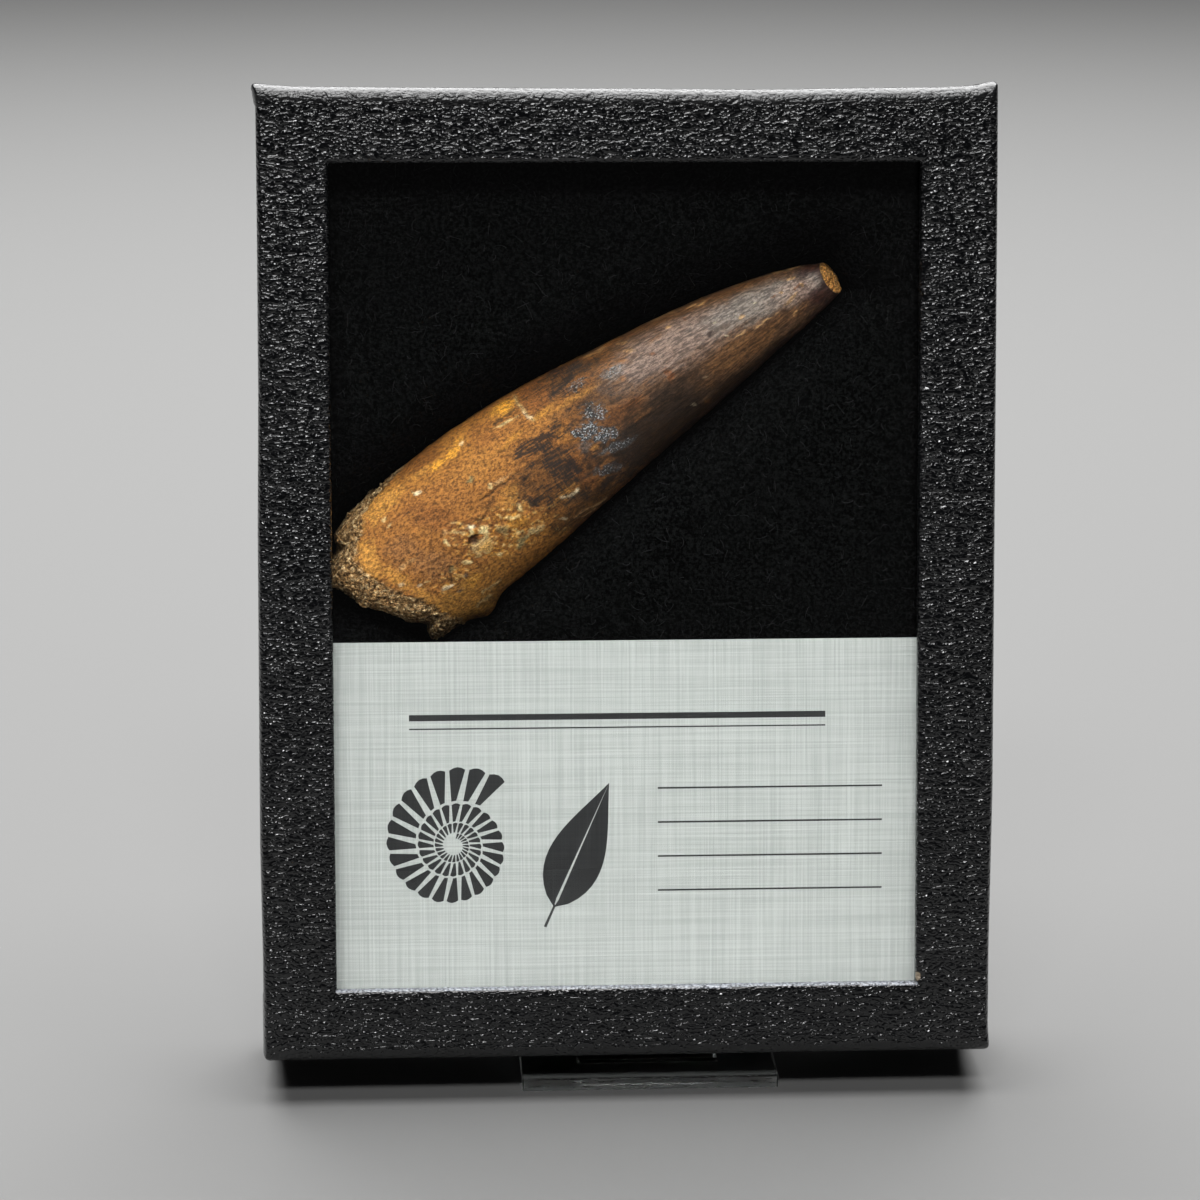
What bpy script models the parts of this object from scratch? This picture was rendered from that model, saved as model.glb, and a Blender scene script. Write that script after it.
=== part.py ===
"""A fossil tooth in a small display box that leans back on a clear easel.

The box is a paper-covered card lid with a window, a pane of glass, a tray, a soft pad with a
hollow for the tooth and a label card. It leans back on a strip of clear plastic, bent into a
foot, a back rest and a rear leg.

World frame: metres, +Z up, the box's window faces -Y. The origin is on the surface that the
easel stands on, under the middle of the object's box.
The box's own frame: u runs to the right, v up the window's face, w out of it. Its zero is the
middle of the lid's lower front edge.
"""

import math

import bmesh
import bpy
from mathutils import Matrix, Vector, noise

MM = 0.001

# The box: its outside, and how far it leans back
LEAN = math.radians(10)
BOX_WIDTH = 82.55 * MM
BOX_HEIGHT = 109.4 * MM
BOX_DEPTH = 20.0 * MM
LID_DEPTH = 18.5 * MM
WALL = 1.6 * MM
GAP = 0.3 * MM
WINDOW_WIDTH = 65.4 * MM
WINDOW_HEIGHT = 92.3 * MM
WINDOW_OFF_CENTRE = (-0.16 * MM, -0.39 * MM)
EDGE_ROUND = 0.6 * MM

# What the lid holds
GLASS_THICK = 1.6 * MM
TRAY_WALL = 1.4 * MM
TRAY_FLOOR = 1.5 * MM
CARD_THICK = 0.3 * MM
CARD_TOP = 47.1 * MM

# The easel: one strip of clear plastic, 29.3 mm wide, 2.65 mm right of the box's middle
EASEL_WIDTH = 29.3 * MM
EASEL_X = 2.65 * MM
EASEL_THICK = 1.6 * MM
FOOT_SETBACK = 2.7 * MM
INNER_BEND = 1.6 * MM
TOP_BEND = 3.0 * MM
BACK_REST = 46.0 * MM
DEPTH_ON_FLOOR = 48.0 * MM
SLOT_WIDTH = 15.9 * MM
SLOT_LENGTH = 3.4 * MM
SLOT_SETBACK = 8.0 * MM
EASEL_EDGE = 0.2 * MM

# The tooth: its axis starts at the broken base and lies in a plane parallel to the window
TOOTH_BASE = (-25.35 * MM, 54.32 * MM, -10.75 * MM)
TOOTH_TILT = math.radians(33.03)
TOOTH_LENGTH = 60.2 * MM
TOOTH_RINGS = 38
TOOTH_SIDES = 48
BASE_FADE = 14 * MM
TIP_FADE = 7 * MM
TIP_SLANT = 0.55
TIP_SETBACK = 1.16
BASE_CAP_RINGS = 6
TIP_CAP_RINGS = 2
TIP_BULGE = 0.35 * MM
# The break's rim is worn round, and the break runs further into the tooth at its back
RIM_WORN = 1.6 * MM
RIM_DROP = 0.16
BREAK_SLANT = 0.25
BREAK_BULGE = 0.6 * MM

# Along the axis, in mm: where, the upper edge and the lower edge
TOOTH_EDGES = (
    (0.0, 9.0, -8.7),
    (5.0, 9.65, -8.55),
    (14.0, 10.35, -7.65),
    (24.0, 10.0, -6.2),
    (34.0, 8.9, -4.75),
    (42.0, 7.85, -3.75),
    (49.0, 6.55, -2.65),
    (54.0, 5.2, -1.95),
    (58.0, 4.1, -1.45),
    (60.2, 3.1, -0.95),
)
# Along the axis, in mm: where, and half the thickness from front to back
TOOTH_DEPTHS = (
    (0.0, 6.5),
    (14.0, 6.75),
    (30.0, 5.75),
    (44.0, 4.35),
    (54.0, 2.85),
    (60.2, 1.6),
)
# The broken base, in mm: across the tooth from its lower side up, and where the break is
BASE_BREAK = (
    (-8.8, -0.4),
    (-8.2, -1.0),
    (-7.2, -0.7),
    (-6.6, 0.2),
    (-6.0, 0.2),
    (-5.2, -1.2),
    (-2.6, -3.2),
    (-1.6, -4.1),
    (-0.3, -5.5),
    (1.5, -5.6),
    (3.1, -6.7),
    (4.2, -6.8),
    (5.2, -5.4),
    (6.2, -3.3),
    (7.0, -3.8),
    (7.8, -3.6),
    (8.5, -1.8),
    (9.2, 0.0),
)
# The same break without its small notches, for the middle of the broken face
BREAK_FACE = (
    (-8.8, -0.4),
    (-4.0, -2.4),
    (0.0, -4.9),
    (3.5, -6.3),
    (6.5, -4.4),
    (9.2, -1.2),
)
# A lump of the rock on the lower side: where along the axis, how far it reaches, how high it is
LUMP_AT = 6.1 * MM
LUMP_REACH = 1.7 * MM
LUMP_HEIGHT = 1.15 * MM
CRUMB_HEIGHT = 0.28 * MM
CRUMB_SCALE = 700.0

# The pad, and the hollow in it that the tooth lies in
PAD_FRONT = -4.4 * MM
HOLLOW_ROOM = 0.8 * MM
HOLLOW_FLARE = 0.35
HOLLOW_SIDES = 20
HOLLOW_RINGS = 22
HOLLOW_FRONT = 9.0 * MM
# As BASE_BREAK, for the hollow's end behind the broken base
HOLLOW_END = (
    (-9.6, -2.2),
    (2.0, -7.7),
    (4.5, -7.7),
    (9.5, -5.0),
    (12.0, -5.0),
)

FRONT_EDGE_Y = -DEPTH_ON_FLOOR / 2
FRONT_EDGE_Z = EASEL_THICK + GAP + LID_DEPTH * math.sin(LEAN)
# Turns the box's own u, v, w into the world's x, y, z
BOX_MATRIX = Matrix(
    (
        (1, 0, 0, 0),
        (0, math.sin(LEAN), -math.cos(LEAN), FRONT_EDGE_Y),
        (0, math.cos(LEAN), math.sin(LEAN), FRONT_EDGE_Z),
        (0, 0, 0, 1),
    )
)


def clear_scene():
    for old in list(bpy.data.objects):
        bpy.data.objects.remove(old, do_unlink=True)


def new_collection(name):
    made = bpy.data.collections.new(name)
    bpy.context.scene.collection.children.link(made)
    return made


def material(name, colour, roughness, metallic=0.0, transmission=0.0, ior=1.45):
    made = bpy.data.materials.new(name)
    made.use_nodes = True
    shader = made.node_tree.nodes["Principled BSDF"]
    shader.inputs["Base Color"].default_value = (*colour, 1.0)
    shader.inputs["Roughness"].default_value = roughness
    shader.inputs["Metallic"].default_value = metallic
    shader.inputs["Transmission Weight"].default_value = transmission
    shader.inputs["IOR"].default_value = ior
    return made


def object_from_bmesh(name, bm, collection):
    bmesh.ops.recalc_face_normals(bm, faces=bm.faces)
    mesh = bpy.data.meshes.new(name)
    bm.to_mesh(mesh)
    bm.free()
    made = bpy.data.objects.new(name, mesh)
    collection.objects.link(made)
    return made


def block(name, low, high, collection):
    """A box between two corners, in its parent's frame."""
    bm = bmesh.new()
    bmesh.ops.create_cube(bm, size=1.0)
    size = Vector(high) - Vector(low)
    middle = (Vector(high) + Vector(low)) / 2
    bmesh.ops.scale(bm, vec=size, verts=bm.verts)
    bmesh.ops.translate(bm, vec=middle, verts=bm.verts)
    return object_from_bmesh(name, bm, collection)


def centred_block(name, width, v_low, v_high, w_back, w_front, collection):
    low = (-width / 2, v_low, w_back)
    high = (width / 2, v_high, w_front)
    return block(name, low, high, collection)


def as_cutter(cutter):
    cutter.hide_render = True
    cutter.display_type = "WIRE"
    return cutter


def cut(target, cutter):
    boolean = target.modifiers.new("cut by " + cutter.name, "BOOLEAN")
    boolean.operation = "DIFFERENCE"
    boolean.solver = "EXACT"
    boolean.object = cutter


def round_edges(target, width, segments):
    bevel = target.modifiers.new("rounded edges", "BEVEL")
    bevel.width = width
    bevel.segments = segments
    bevel.limit_method = "ANGLE"
    bevel.angle_limit = math.radians(40)
    target.data.shade_smooth()
    target.data.set_sharp_from_angle(angle=math.radians(40))


def between(points, x):
    """Straight lines through a list of (x, y) points."""
    if x <= points[0][0]:
        return points[0][1]
    for (x0, y0), (x1, y1) in zip(points, points[1:]):
        if x <= x1:
            return y0 + (y1 - y0) * (x - x0) / (x1 - x0)
    return points[-1][1]


def smooth_between(points, x):
    """A smooth curve through a list of (x, y) points, with the slope of their neighbours."""
    count = len(points)
    slopes = []
    for i in range(count):
        before = points[max(i - 1, 0)]
        after = points[min(i + 1, count - 1)]
        slopes.append((after[1] - before[1]) / (after[0] - before[0]))
    x = min(max(x, points[0][0]), points[-1][0])
    for i in range(count - 1):
        x0, y0 = points[i]
        x1, y1 = points[i + 1]
        if x <= x1:
            span = x1 - x0
            t = (x - x0) / span
            start = (1 + 2 * t) * (1 - t) ** 2 * y0 + t * (1 - t) ** 2 * span * slopes[i]
            end = t * t * (3 - 2 * t) * y1 - t * t * (1 - t) * span * slopes[i + 1]
            return start + end
    return points[-1][1]


def ease(x):
    """0 to 1 as x goes from 0 to 1, with level ends."""
    x = min(max(x, 0.0), 1.0)
    return x * x * (3 - 2 * x)


def tooth_section(along):
    """The tooth's middle, half its width and half its thickness, at a place along its axis."""
    s = along / MM
    upper = smooth_between([(p[0], p[1]) for p in TOOTH_EDGES], s)
    lower = smooth_between([(p[0], p[2]) for p in TOOTH_EDGES], s)
    depth = smooth_between(TOOTH_DEPTHS, s)
    return (upper + lower) / 2 * MM, (upper - lower) / 2 * MM, depth * MM


def tooth_place(along, across, out):
    """From the tooth's own axes to the box's u, v, w."""
    u = TOOTH_BASE[0] + along * math.cos(TOOTH_TILT) - across * math.sin(TOOTH_TILT)
    v = TOOTH_BASE[1] + along * math.sin(TOOTH_TILT) + across * math.cos(TOOTH_TILT)
    return Vector((u, v, TOOTH_BASE[2] + out))


def lump(along, angle):
    """How far the lump of rock lifts the surface, near the lower edge."""
    off = (along - LUMP_AT) / LUMP_REACH
    round_side = (math.cos(angle) + 1) / 0.12
    return LUMP_HEIGHT * math.exp(-off * off) * math.exp(-round_side)


def crumble(place, strength):
    """Lumps and pits of the broken, sandy ends."""
    wave = noise.noise(place * CRUMB_SCALE) + 0.5 * noise.noise(place * CRUMB_SCALE * 2.3)
    return CRUMB_HEIGHT * strength * wave


def broken_end(across, out, inner):
    """Where the broken base is: its rim has notches, and the face inside it is smoother."""
    rim = between(BASE_BREAK, across / MM)
    face = smooth_between(BREAK_FACE, across / MM)
    return (rim + (face - rim) * inner) * MM + BREAK_SLANT * max(-out, 0)


def tooth_point(along, angle):
    """A point on the tooth's side: angle 0 is its upper edge, a quarter turn its front."""
    middle, width, depth = tooth_section(along)
    reach = 1 + (lump(along, angle) / width)
    worn = 1 - RIM_DROP * (1 - min(along / RIM_WORN, 1.0)) ** 2
    across = middle + width * math.cos(angle) * reach
    out = depth * math.sin(angle) * worn
    shifted = along + broken_end(across, out, 0) * (1 - ease(along / BASE_FADE))
    tip = ease((along - TOOTH_LENGTH + TIP_FADE) / TIP_FADE)
    shifted -= TIP_SLANT * (out + TIP_SETBACK * depth) * tip
    place = tooth_place(shifted, across, out)
    near_end = 1 - ease((along - 1 * MM) / (4 * MM))
    lift = crumble(place, near_end)
    centre = tooth_place(shifted, middle, 0)
    return place + (place - centre).normalized() * lift


def base_face_point(inner, angle):
    """A point on the broken face; inner goes from 0 at its rim to 1 at its middle."""
    middle, width, depth = tooth_section(0)
    across = middle + width * math.cos(angle) * (1 - inner)
    out = depth * math.sin(angle) * (1 - inner) * (1 - RIM_DROP)
    bulge = BREAK_BULGE * (1 - (1 - inner) ** 2)
    end = broken_end(across, out, ease(inner * 2)) - bulge
    place = tooth_place(end, across, out)
    return tooth_place(end - crumble(place, 1.2 * ease(inner * 3)), across, out)


def ring_of(points, bm):
    return [bm.verts.new(p) for p in points]


def bridge(bm, first, second):
    count = len(first)
    for i in range(count):
        j = (i + 1) % count
        bm.faces.new((first[i], first[j], second[j], second[i]))


def close_base(bm, ring, angles):
    """Fills the base with rings of the broken face."""
    outer = ring
    for k in range(1, BASE_CAP_RINGS + 1):
        inner = k / (BASE_CAP_RINGS + 1)
        shrunk = ring_of([base_face_point(inner, a) for a in angles], bm)
        bridge(bm, outer, shrunk)
        outer = shrunk
    close_fan(bm, outer, base_face_point(1, 0))


def close_tip(bm, ring, bulge):
    """Fills the tip's break with rings that shrink towards its middle and swell a little."""
    centre = sum((v.co for v in ring), Vector()) / len(ring)
    start = [v.co.copy() for v in ring]
    outer = ring
    for k in range(1, TIP_CAP_RINGS + 1):
        t = k / (TIP_CAP_RINGS + 1)
        places = [p.lerp(centre, t) + bulge * (1 - (1 - t) ** 2) for p in start]
        shrunk = ring_of([p + bulge.normalized() * crumble(p, 0.4) for p in places], bm)
        bridge(bm, outer, shrunk)
        outer = shrunk
    close_fan(bm, outer, centre + bulge)


def close_fan(bm, ring, place):
    middle = bm.verts.new(place)
    for i in range(len(ring)):
        bm.faces.new((ring[i], ring[(i + 1) % len(ring)], middle))


def tooth_ring_places():
    """Rings lie closer together towards both ends."""
    places = []
    for k in range(TOOTH_RINGS):
        t = k / (TOOTH_RINGS - 1)
        places.append(TOOTH_LENGTH * (t - 0.06 * math.sin(2 * math.pi * t)))
    return places


def make_tooth(collection):
    bm = bmesh.new()
    angles = [2 * math.pi * i / TOOTH_SIDES for i in range(TOOTH_SIDES)]
    rings = []
    for along in tooth_ring_places():
        rings.append(ring_of([tooth_point(along, a) for a in angles], bm))
    for first, second in zip(rings, rings[1:]):
        bridge(bm, first, second)
    outward = tooth_place(1, 0, 0) - tooth_place(0, 0, 0)
    close_base(bm, rings[0], angles)
    close_tip(bm, rings[-1], outward * TIP_BULGE)
    tooth = object_from_bmesh("tooth", bm, collection)
    tooth.data.shade_smooth()
    tooth.data.set_sharp_from_angle(angle=math.radians(50))
    tooth.data.materials.append(material("tooth", (0.30, 0.15, 0.06), 0.55))
    return tooth


def hollow_ring(along):
    """The hollow's section: the tooth's back with room round it, and sides that open forward.

    The first half of the points runs round the back, the second half back along the front.
    """
    middle, width, depth = tooth_section(along)
    width += HOLLOW_ROOM + lump(along, math.pi)
    depth += HOLLOW_ROOM
    # the sides open forward only between the ends, whose walls stand straight
    opening = ease(along / TIP_FADE) * ease((TOOTH_LENGTH - along) / TIP_FADE)
    mouth = width + HOLLOW_FLARE * HOLLOW_FRONT * opening
    angles = [-math.pi * i / HOLLOW_SIDES for i in range(HOLLOW_SIDES + 1)]
    points = [(middle + width * math.cos(a), depth * math.sin(a)) for a in angles]
    points += [(middle + mouth * math.cos(a), HOLLOW_FRONT) for a in reversed(angles)]
    fade = 1 - ease(along / BASE_FADE)
    places = []
    for across, out in points:
        end = between(HOLLOW_END, across / MM) * MM
        places.append(tooth_place(along + end * fade, across, out))
    return places


def close_hollow_end(bm, ring):
    """Strips from the back of the hollow's section to its front, so the end keeps its slant."""
    last = len(ring) - 1
    for i in range(HOLLOW_SIDES):
        bm.faces.new((ring[i], ring[i + 1], ring[last - i - 1], ring[last - i]))


def make_hollow_cutter(collection):
    bm = bmesh.new()
    rings = []
    for k in range(HOLLOW_RINGS):
        along = (TOOTH_LENGTH + HOLLOW_ROOM) * k / (HOLLOW_RINGS - 1)
        rings.append(ring_of(hollow_ring(along), bm))
    for first, second in zip(rings, rings[1:]):
        bridge(bm, first, second)
    close_hollow_end(bm, rings[0])
    close_hollow_end(bm, rings[-1])
    return as_cutter(object_from_bmesh("pad_hollow_cutter", bm, collection))


def make_lid(collection, cutters):
    """The window lid: a front panel and four side walls, open at the back."""
    lid = centred_block("lid", BOX_WIDTH, 0, BOX_HEIGHT, -LID_DEPTH, 0, collection)
    inside = centred_block(
        "lid_inside_cutter",
        BOX_WIDTH - 2 * WALL,
        WALL,
        BOX_HEIGHT - WALL,
        -LID_DEPTH - 5 * MM,
        -WALL,
        cutters,
    )
    middle = Vector((WINDOW_OFF_CENTRE[0], BOX_HEIGHT / 2 + WINDOW_OFF_CENTRE[1], 0))
    reach = Vector((WINDOW_WIDTH / 2, WINDOW_HEIGHT / 2, 5 * MM + WALL))
    window = block("window_cutter", middle - reach, middle + reach, cutters)
    cut(lid, as_cutter(inside))
    cut(lid, as_cutter(window))
    round_edges(lid, EDGE_ROUND, 3)
    lid.data.materials.append(material("leatherette", (0.012, 0.013, 0.015), 0.42))
    return lid


def make_glass(collection):
    inset = WALL + GAP
    front = -WALL - GAP
    glass = centred_block(
        "glass",
        BOX_WIDTH - 2 * inset,
        inset,
        BOX_HEIGHT - inset,
        front - GLASS_THICK,
        front,
        collection,
    )
    round_edges(glass, 0.15 * MM, 1)
    glass.data.materials.append(material("glass", (1.0, 1.0, 1.0), 0.0, 0.0, 1.0, 1.5))
    return glass


def make_tray(collection, cutters):
    """The tray that the lid slides over, open at the front behind the glass."""
    inset = WALL + GAP
    front = -WALL - GAP - GLASS_THICK - GAP
    tray = centred_block(
        "tray", BOX_WIDTH - 2 * inset, inset, BOX_HEIGHT - inset, -BOX_DEPTH, front, collection
    )
    inner = inset + TRAY_WALL
    inside = centred_block(
        "tray_inside_cutter",
        BOX_WIDTH - 2 * inner,
        inner,
        BOX_HEIGHT - inner,
        -BOX_DEPTH + TRAY_FLOOR,
        5 * MM,
        cutters,
    )
    cut(tray, as_cutter(inside))
    round_edges(tray, 0.4 * MM, 2)
    tray.data.materials.append(material("tray_paper", (0.014, 0.014, 0.015), 0.6))
    return tray


def make_padding(collection, cutters):
    inset = WALL + GAP + TRAY_WALL + GAP
    padding = centred_block(
        "padding",
        BOX_WIDTH - 2 * inset,
        inset,
        BOX_HEIGHT - inset,
        -BOX_DEPTH + TRAY_FLOOR + GAP,
        PAD_FRONT,
        collection,
    )
    cut(padding, make_hollow_cutter(cutters))
    padding.data.materials.append(material("felt", (0.006, 0.006, 0.007), 0.95))
    return padding


def make_card(collection):
    inset = WALL + GAP + TRAY_WALL + GAP
    front = -WALL - GAP - GLASS_THICK - GAP
    card = centred_block(
        "label_card", BOX_WIDTH - 2 * inset, inset, CARD_TOP, front - CARD_THICK, front, collection
    )
    card.data.materials.append(material("card", (0.62, 0.64, 0.60), 0.7))
    return card


def arc(centre, radius, start, end, steps):
    """Points on an arc in the (y, z) plane, angles measured from +y towards +z."""
    points = []
    for i in range(steps + 1):
        angle = start + (end - start) * i / steps
        points.append(Vector((centre.x + radius * math.cos(angle), centre.y + radius * math.sin(angle))))
    return points


def easel_profile():
    """The strip's middle line from the foot's front edge to the rear leg's end, as (y, z)."""
    half = EASEL_THICK / 2
    foot_z = half
    up = Vector((math.sin(LEAN), math.cos(LEAN)))
    back = Vector((math.cos(LEAN), -math.sin(LEAN)))
    # the middle line of the back rest: a gap and half the strip behind the tray's back
    corner = Vector((FRONT_EDGE_Y, FRONT_EDGE_Z)) + back * (BOX_DEPTH + GAP + half)
    along = (foot_z - corner.y) / up.y
    meeting = corner + up * along
    bend = INNER_BEND + half
    # the turn from flat to the back rest is less than a right angle by the lean
    turn = math.pi / 2 - LEAN
    tangent = bend * math.tan(turn / 2)
    start = Vector((FRONT_EDGE_Y + FOOT_SETBACK, foot_z))
    bend_centre = meeting + Vector((-tangent, bend))
    points = [start]
    points += arc(bend_centre, bend, -math.pi / 2, -LEAN, 6)
    rest_top = meeting + up * BACK_REST
    top_bend = TOP_BEND + half
    top_centre = rest_top + back * top_bend
    # the leg runs from the top bend to the floor, where its outer corner is the rearmost point
    leg_angle = rear_leg_angle(top_centre, top_bend, half)
    points += arc(top_centre, top_bend, math.pi - LEAN, leg_angle, 12)
    down = Vector((math.sin(leg_angle), -math.cos(leg_angle)))
    leg_start = points[-1]
    length = (leg_start.y - half * abs(down.x)) / -down.y
    points.append(leg_start + down * length)
    return points


def rear_leg_angle(centre, bend, half):
    """The angle of the top bend's end at which the leg's foot reaches the object's rear."""
    rear = DEPTH_ON_FLOOR / 2
    low, high = 0.0, math.radians(60)
    for _ in range(40):
        angle = (low + high) / 2
        down = Vector((math.sin(angle), -math.cos(angle)))
        outward = Vector((math.cos(angle), math.sin(angle)))
        start = centre + outward * bend
        length = (start.y - half * abs(down.x)) / -down.y
        foot = start + down * length + outward * half
        if foot.x < rear:
            low = angle
        else:
            high = angle
    return (low + high) / 2


def make_easel(collection, cutters):
    bm = bmesh.new()
    left = EASEL_X - EASEL_WIDTH / 2
    verts = [bm.verts.new((left, p.x, p.y)) for p in easel_profile()]
    edges = [bm.edges.new((a, b)) for a, b in zip(verts, verts[1:])]
    swept = bmesh.ops.extrude_edge_only(bm, edges=edges)
    moved = [g for g in swept["geom"] if isinstance(g, bmesh.types.BMVert)]
    bmesh.ops.translate(bm, vec=(EASEL_WIDTH, 0, 0), verts=moved)
    easel = object_from_bmesh("stand", bm, collection)
    solid = easel.modifiers.new("thickness", "SOLIDIFY")
    solid.thickness = EASEL_THICK
    solid.offset = 0
    solid.use_even_offset = True
    slot = block(
        "slot_cutter",
        (EASEL_X - SLOT_WIDTH / 2, FRONT_EDGE_Y + SLOT_SETBACK, -5 * MM),
        (EASEL_X + SLOT_WIDTH / 2, FRONT_EDGE_Y + SLOT_SETBACK + SLOT_LENGTH, 5 * MM),
        cutters,
    )
    cut(easel, as_cutter(slot))
    round_edges(easel, EASEL_EDGE, 2)
    easel.data.materials.append(material("clear_plastic", (1.0, 1.0, 1.0), 0.03, 0.0, 1.0, 1.49))
    return easel


def main():
    clear_scene()
    parts = new_collection("display box with fossil tooth")
    cutters = new_collection("cutters")
    box_frame = bpy.data.objects.new("box_frame", None)
    box_frame.matrix_world = BOX_MATRIX
    parts.objects.link(box_frame)

    make_lid(parts, cutters)
    make_glass(parts)
    make_tray(parts, cutters)
    make_padding(parts, cutters)
    make_card(parts)
    make_tooth(parts)
    for piece in [*parts.objects, *cutters.objects]:
        if piece != box_frame:
            piece.parent = box_frame
    make_easel(parts, cutters)
    bpy.context.view_layer.update()


main()
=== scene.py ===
"""A fossil tooth in a display box on a clear easel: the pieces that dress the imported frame.

Lengths are in millimetres in the box's own frame (u to the right, v up the window, w out of it;
zero is the middle of the lid's lower front edge), and turned into the row frame at the end.
"""

import itertools
import math

import bpy
import numpy as np
from mathutils import Matrix, Vector
from mathutils.geometry import delaunay_2d_cdt


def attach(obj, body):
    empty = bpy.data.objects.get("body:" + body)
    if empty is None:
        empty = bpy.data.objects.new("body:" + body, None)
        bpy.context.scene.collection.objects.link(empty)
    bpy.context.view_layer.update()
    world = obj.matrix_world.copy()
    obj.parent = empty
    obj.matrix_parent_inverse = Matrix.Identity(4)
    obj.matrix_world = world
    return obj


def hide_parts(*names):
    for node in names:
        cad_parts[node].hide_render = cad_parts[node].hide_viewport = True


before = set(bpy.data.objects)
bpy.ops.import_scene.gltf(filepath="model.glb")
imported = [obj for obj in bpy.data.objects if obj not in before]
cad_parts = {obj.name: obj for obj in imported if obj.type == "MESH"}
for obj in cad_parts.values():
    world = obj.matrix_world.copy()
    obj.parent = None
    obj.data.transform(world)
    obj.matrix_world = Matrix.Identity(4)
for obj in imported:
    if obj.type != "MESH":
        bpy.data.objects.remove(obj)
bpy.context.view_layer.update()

MM = 0.001
SEED = 7

# The box, as in the part's source
LEAN = math.radians(10)
BOX_WIDTH = 82.55
BOX_HEIGHT = 109.4
LID_DEPTH = 18.5
WALL = 1.6
GAP = 0.3
EASEL_THICK = 1.6
WINDOW_WIDTH = 65.4
WINDOW_HEIGHT = 92.3
WINDOW_OFF_CENTRE = (-0.16, -0.39)
CARD_TOP = 47.1
CARD_INSET = 3.6
CARD_FRONT = -3.8
CARD_BACK = -4.1
FRONT_EDGE_Y = -24.0
FRONT_EDGE_Z = EASEL_THICK + GAP + LID_DEPTH * math.sin(LEAN)
BOX_HALF = np.array([BOX_WIDTH, BOX_HEIGHT]) / 2
BOX_MIDDLE = np.array([0.0, BOX_HEIGHT / 2])
WINDOW_HALF = np.array([WINDOW_WIDTH, WINDOW_HEIGHT]) / 2
WINDOW_MIDDLE = BOX_MIDDLE + WINDOW_OFF_CENTRE

# The tooth, as in the part's source
TOOTH_BASE = (-25.35, 54.32, -10.75)
TOOTH_TILT = math.radians(33.03)
TOOTH_LENGTH = 60.2
BASE_FADE = 14.0
TIP_FADE = 7.0
TIP_SLANT = 0.55
TIP_SETBACK = 1.16
TIP_BULGE = 0.35
RIM_WORN = 1.6
RIM_DROP = 0.16
BREAK_SLANT = 0.25
BREAK_BULGE = 0.6
LUMP_AT = 6.1
LUMP_REACH = 1.7
LUMP_HEIGHT = 1.15
EDGE_PLACES = (0.0, 5.0, 14.0, 24.0, 34.0, 42.0, 49.0, 54.0, 58.0, 60.2)
EDGE_UPPER = (9.0, 9.65, 10.35, 10.0, 8.9, 7.85, 6.55, 5.2, 4.1, 3.1)
EDGE_LOWER = (-8.7, -8.55, -7.65, -6.2, -4.75, -3.75, -2.65, -1.95, -1.45, -0.95)
DEPTH_PLACES = (0.0, 14.0, 30.0, 44.0, 54.0, 60.2)
DEPTHS = (6.5, 6.75, 5.75, 4.35, 2.85, 1.6)
BREAK_ACROSS = (-8.8, -8.2, -7.2, -6.6, -6.0, -5.2, -2.6, -1.6, -0.3)
BREAK_ACROSS += (1.5, 3.1, 4.2, 5.2, 6.2, 7.0, 7.8, 8.5, 9.2)
BREAK_AT = (-0.4, -1.0, -0.7, 0.2, 0.2, -1.2, -3.2, -4.1, -5.5)
BREAK_AT += (-5.6, -6.7, -6.8, -5.4, -3.3, -3.8, -3.6, -1.8, 0.0)
FACE_ACROSS = (-8.8, -4.0, 0.0, 3.5, 6.5, 9.2)
FACE_AT = (-0.4, -2.4, -4.9, -6.3, -4.4, -1.2)

# Where the bare rock along the break gives way to the root's surface
CRUST_ACROSS = (-8.6, -7.5, -6.2, -4.8, -3.2, -2.3, -1.0, 0.8)
CRUST_ACROSS += (2.5, 4.0, 5.3, 6.2, 7.6, 8.4, 9.1, 9.8)
CRUST_AT = (3.0, 2.2, 1.5, 0.9, 0.2, -0.8, -1.5, -2.6, -3.3, -3.5, -2.5, -1.0, 0.0, 1.5, 4.0, 7.2)

# How finely the tooth is modelled
TOOTH_RINGS = 380
TOOTH_SIDES = 232
BASE_CAP_RINGS = 22
TIP_CAP_RINGS = 14
# The photograph sees the tooth a little from above and, short of LEVEL_AT along it, from the
# tip's side: mm aside for each mm out
SEEN_FROM_ABOVE = 0.055
SEEN_FROM_TIP = 0.045
LEVEL_AT = 35.0
# Sides crowd towards the front, and rings towards both ends
SIDE_CROWDING = 0.42
RING_CROWDING = 0.05
CAP_HOLE = 0.3


class Noise:
    """Smooth repeatable noise, about -1 to 1, at many points at once."""

    def __init__(self, seed):
        source = np.random.default_rng(seed)
        self.order = np.tile(source.permutation(256), 2)
        slopes = source.normal(size=(256, 3))
        self.slopes = slopes / np.linalg.norm(slopes, axis=1)[:, None]

    def __call__(self, points):
        cell = np.floor(points).astype(int)
        part = points - cell
        cell &= 255
        fade = part**3 * (part * (part * 6 - 15) + 10)
        total = np.zeros(len(points))
        for corner in itertools.product((0, 1), repeat=3):
            x, y, z = (cell + corner).T
            key = self.order[self.order[self.order[x] + y] + z]
            weight = np.prod(np.where(corner, fade, 1 - fade), axis=1)
            total += weight * np.sum(self.slopes[key] * (part - corner), axis=1)
        return total * 1.6

    def fractal(self, points, octaves=3, gain=0.5):
        total = 0
        strength = 1.0
        for k in range(octaves):
            total = total + strength * self(points * 2.03**k + 17.3 * k)
            strength *= gain
        return total


noise = Noise(SEED)
other_noise = Noise(SEED + 1)


def ease(x):
    x = np.clip(x, 0, 1)
    return x * x * (3 - 2 * x)


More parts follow.
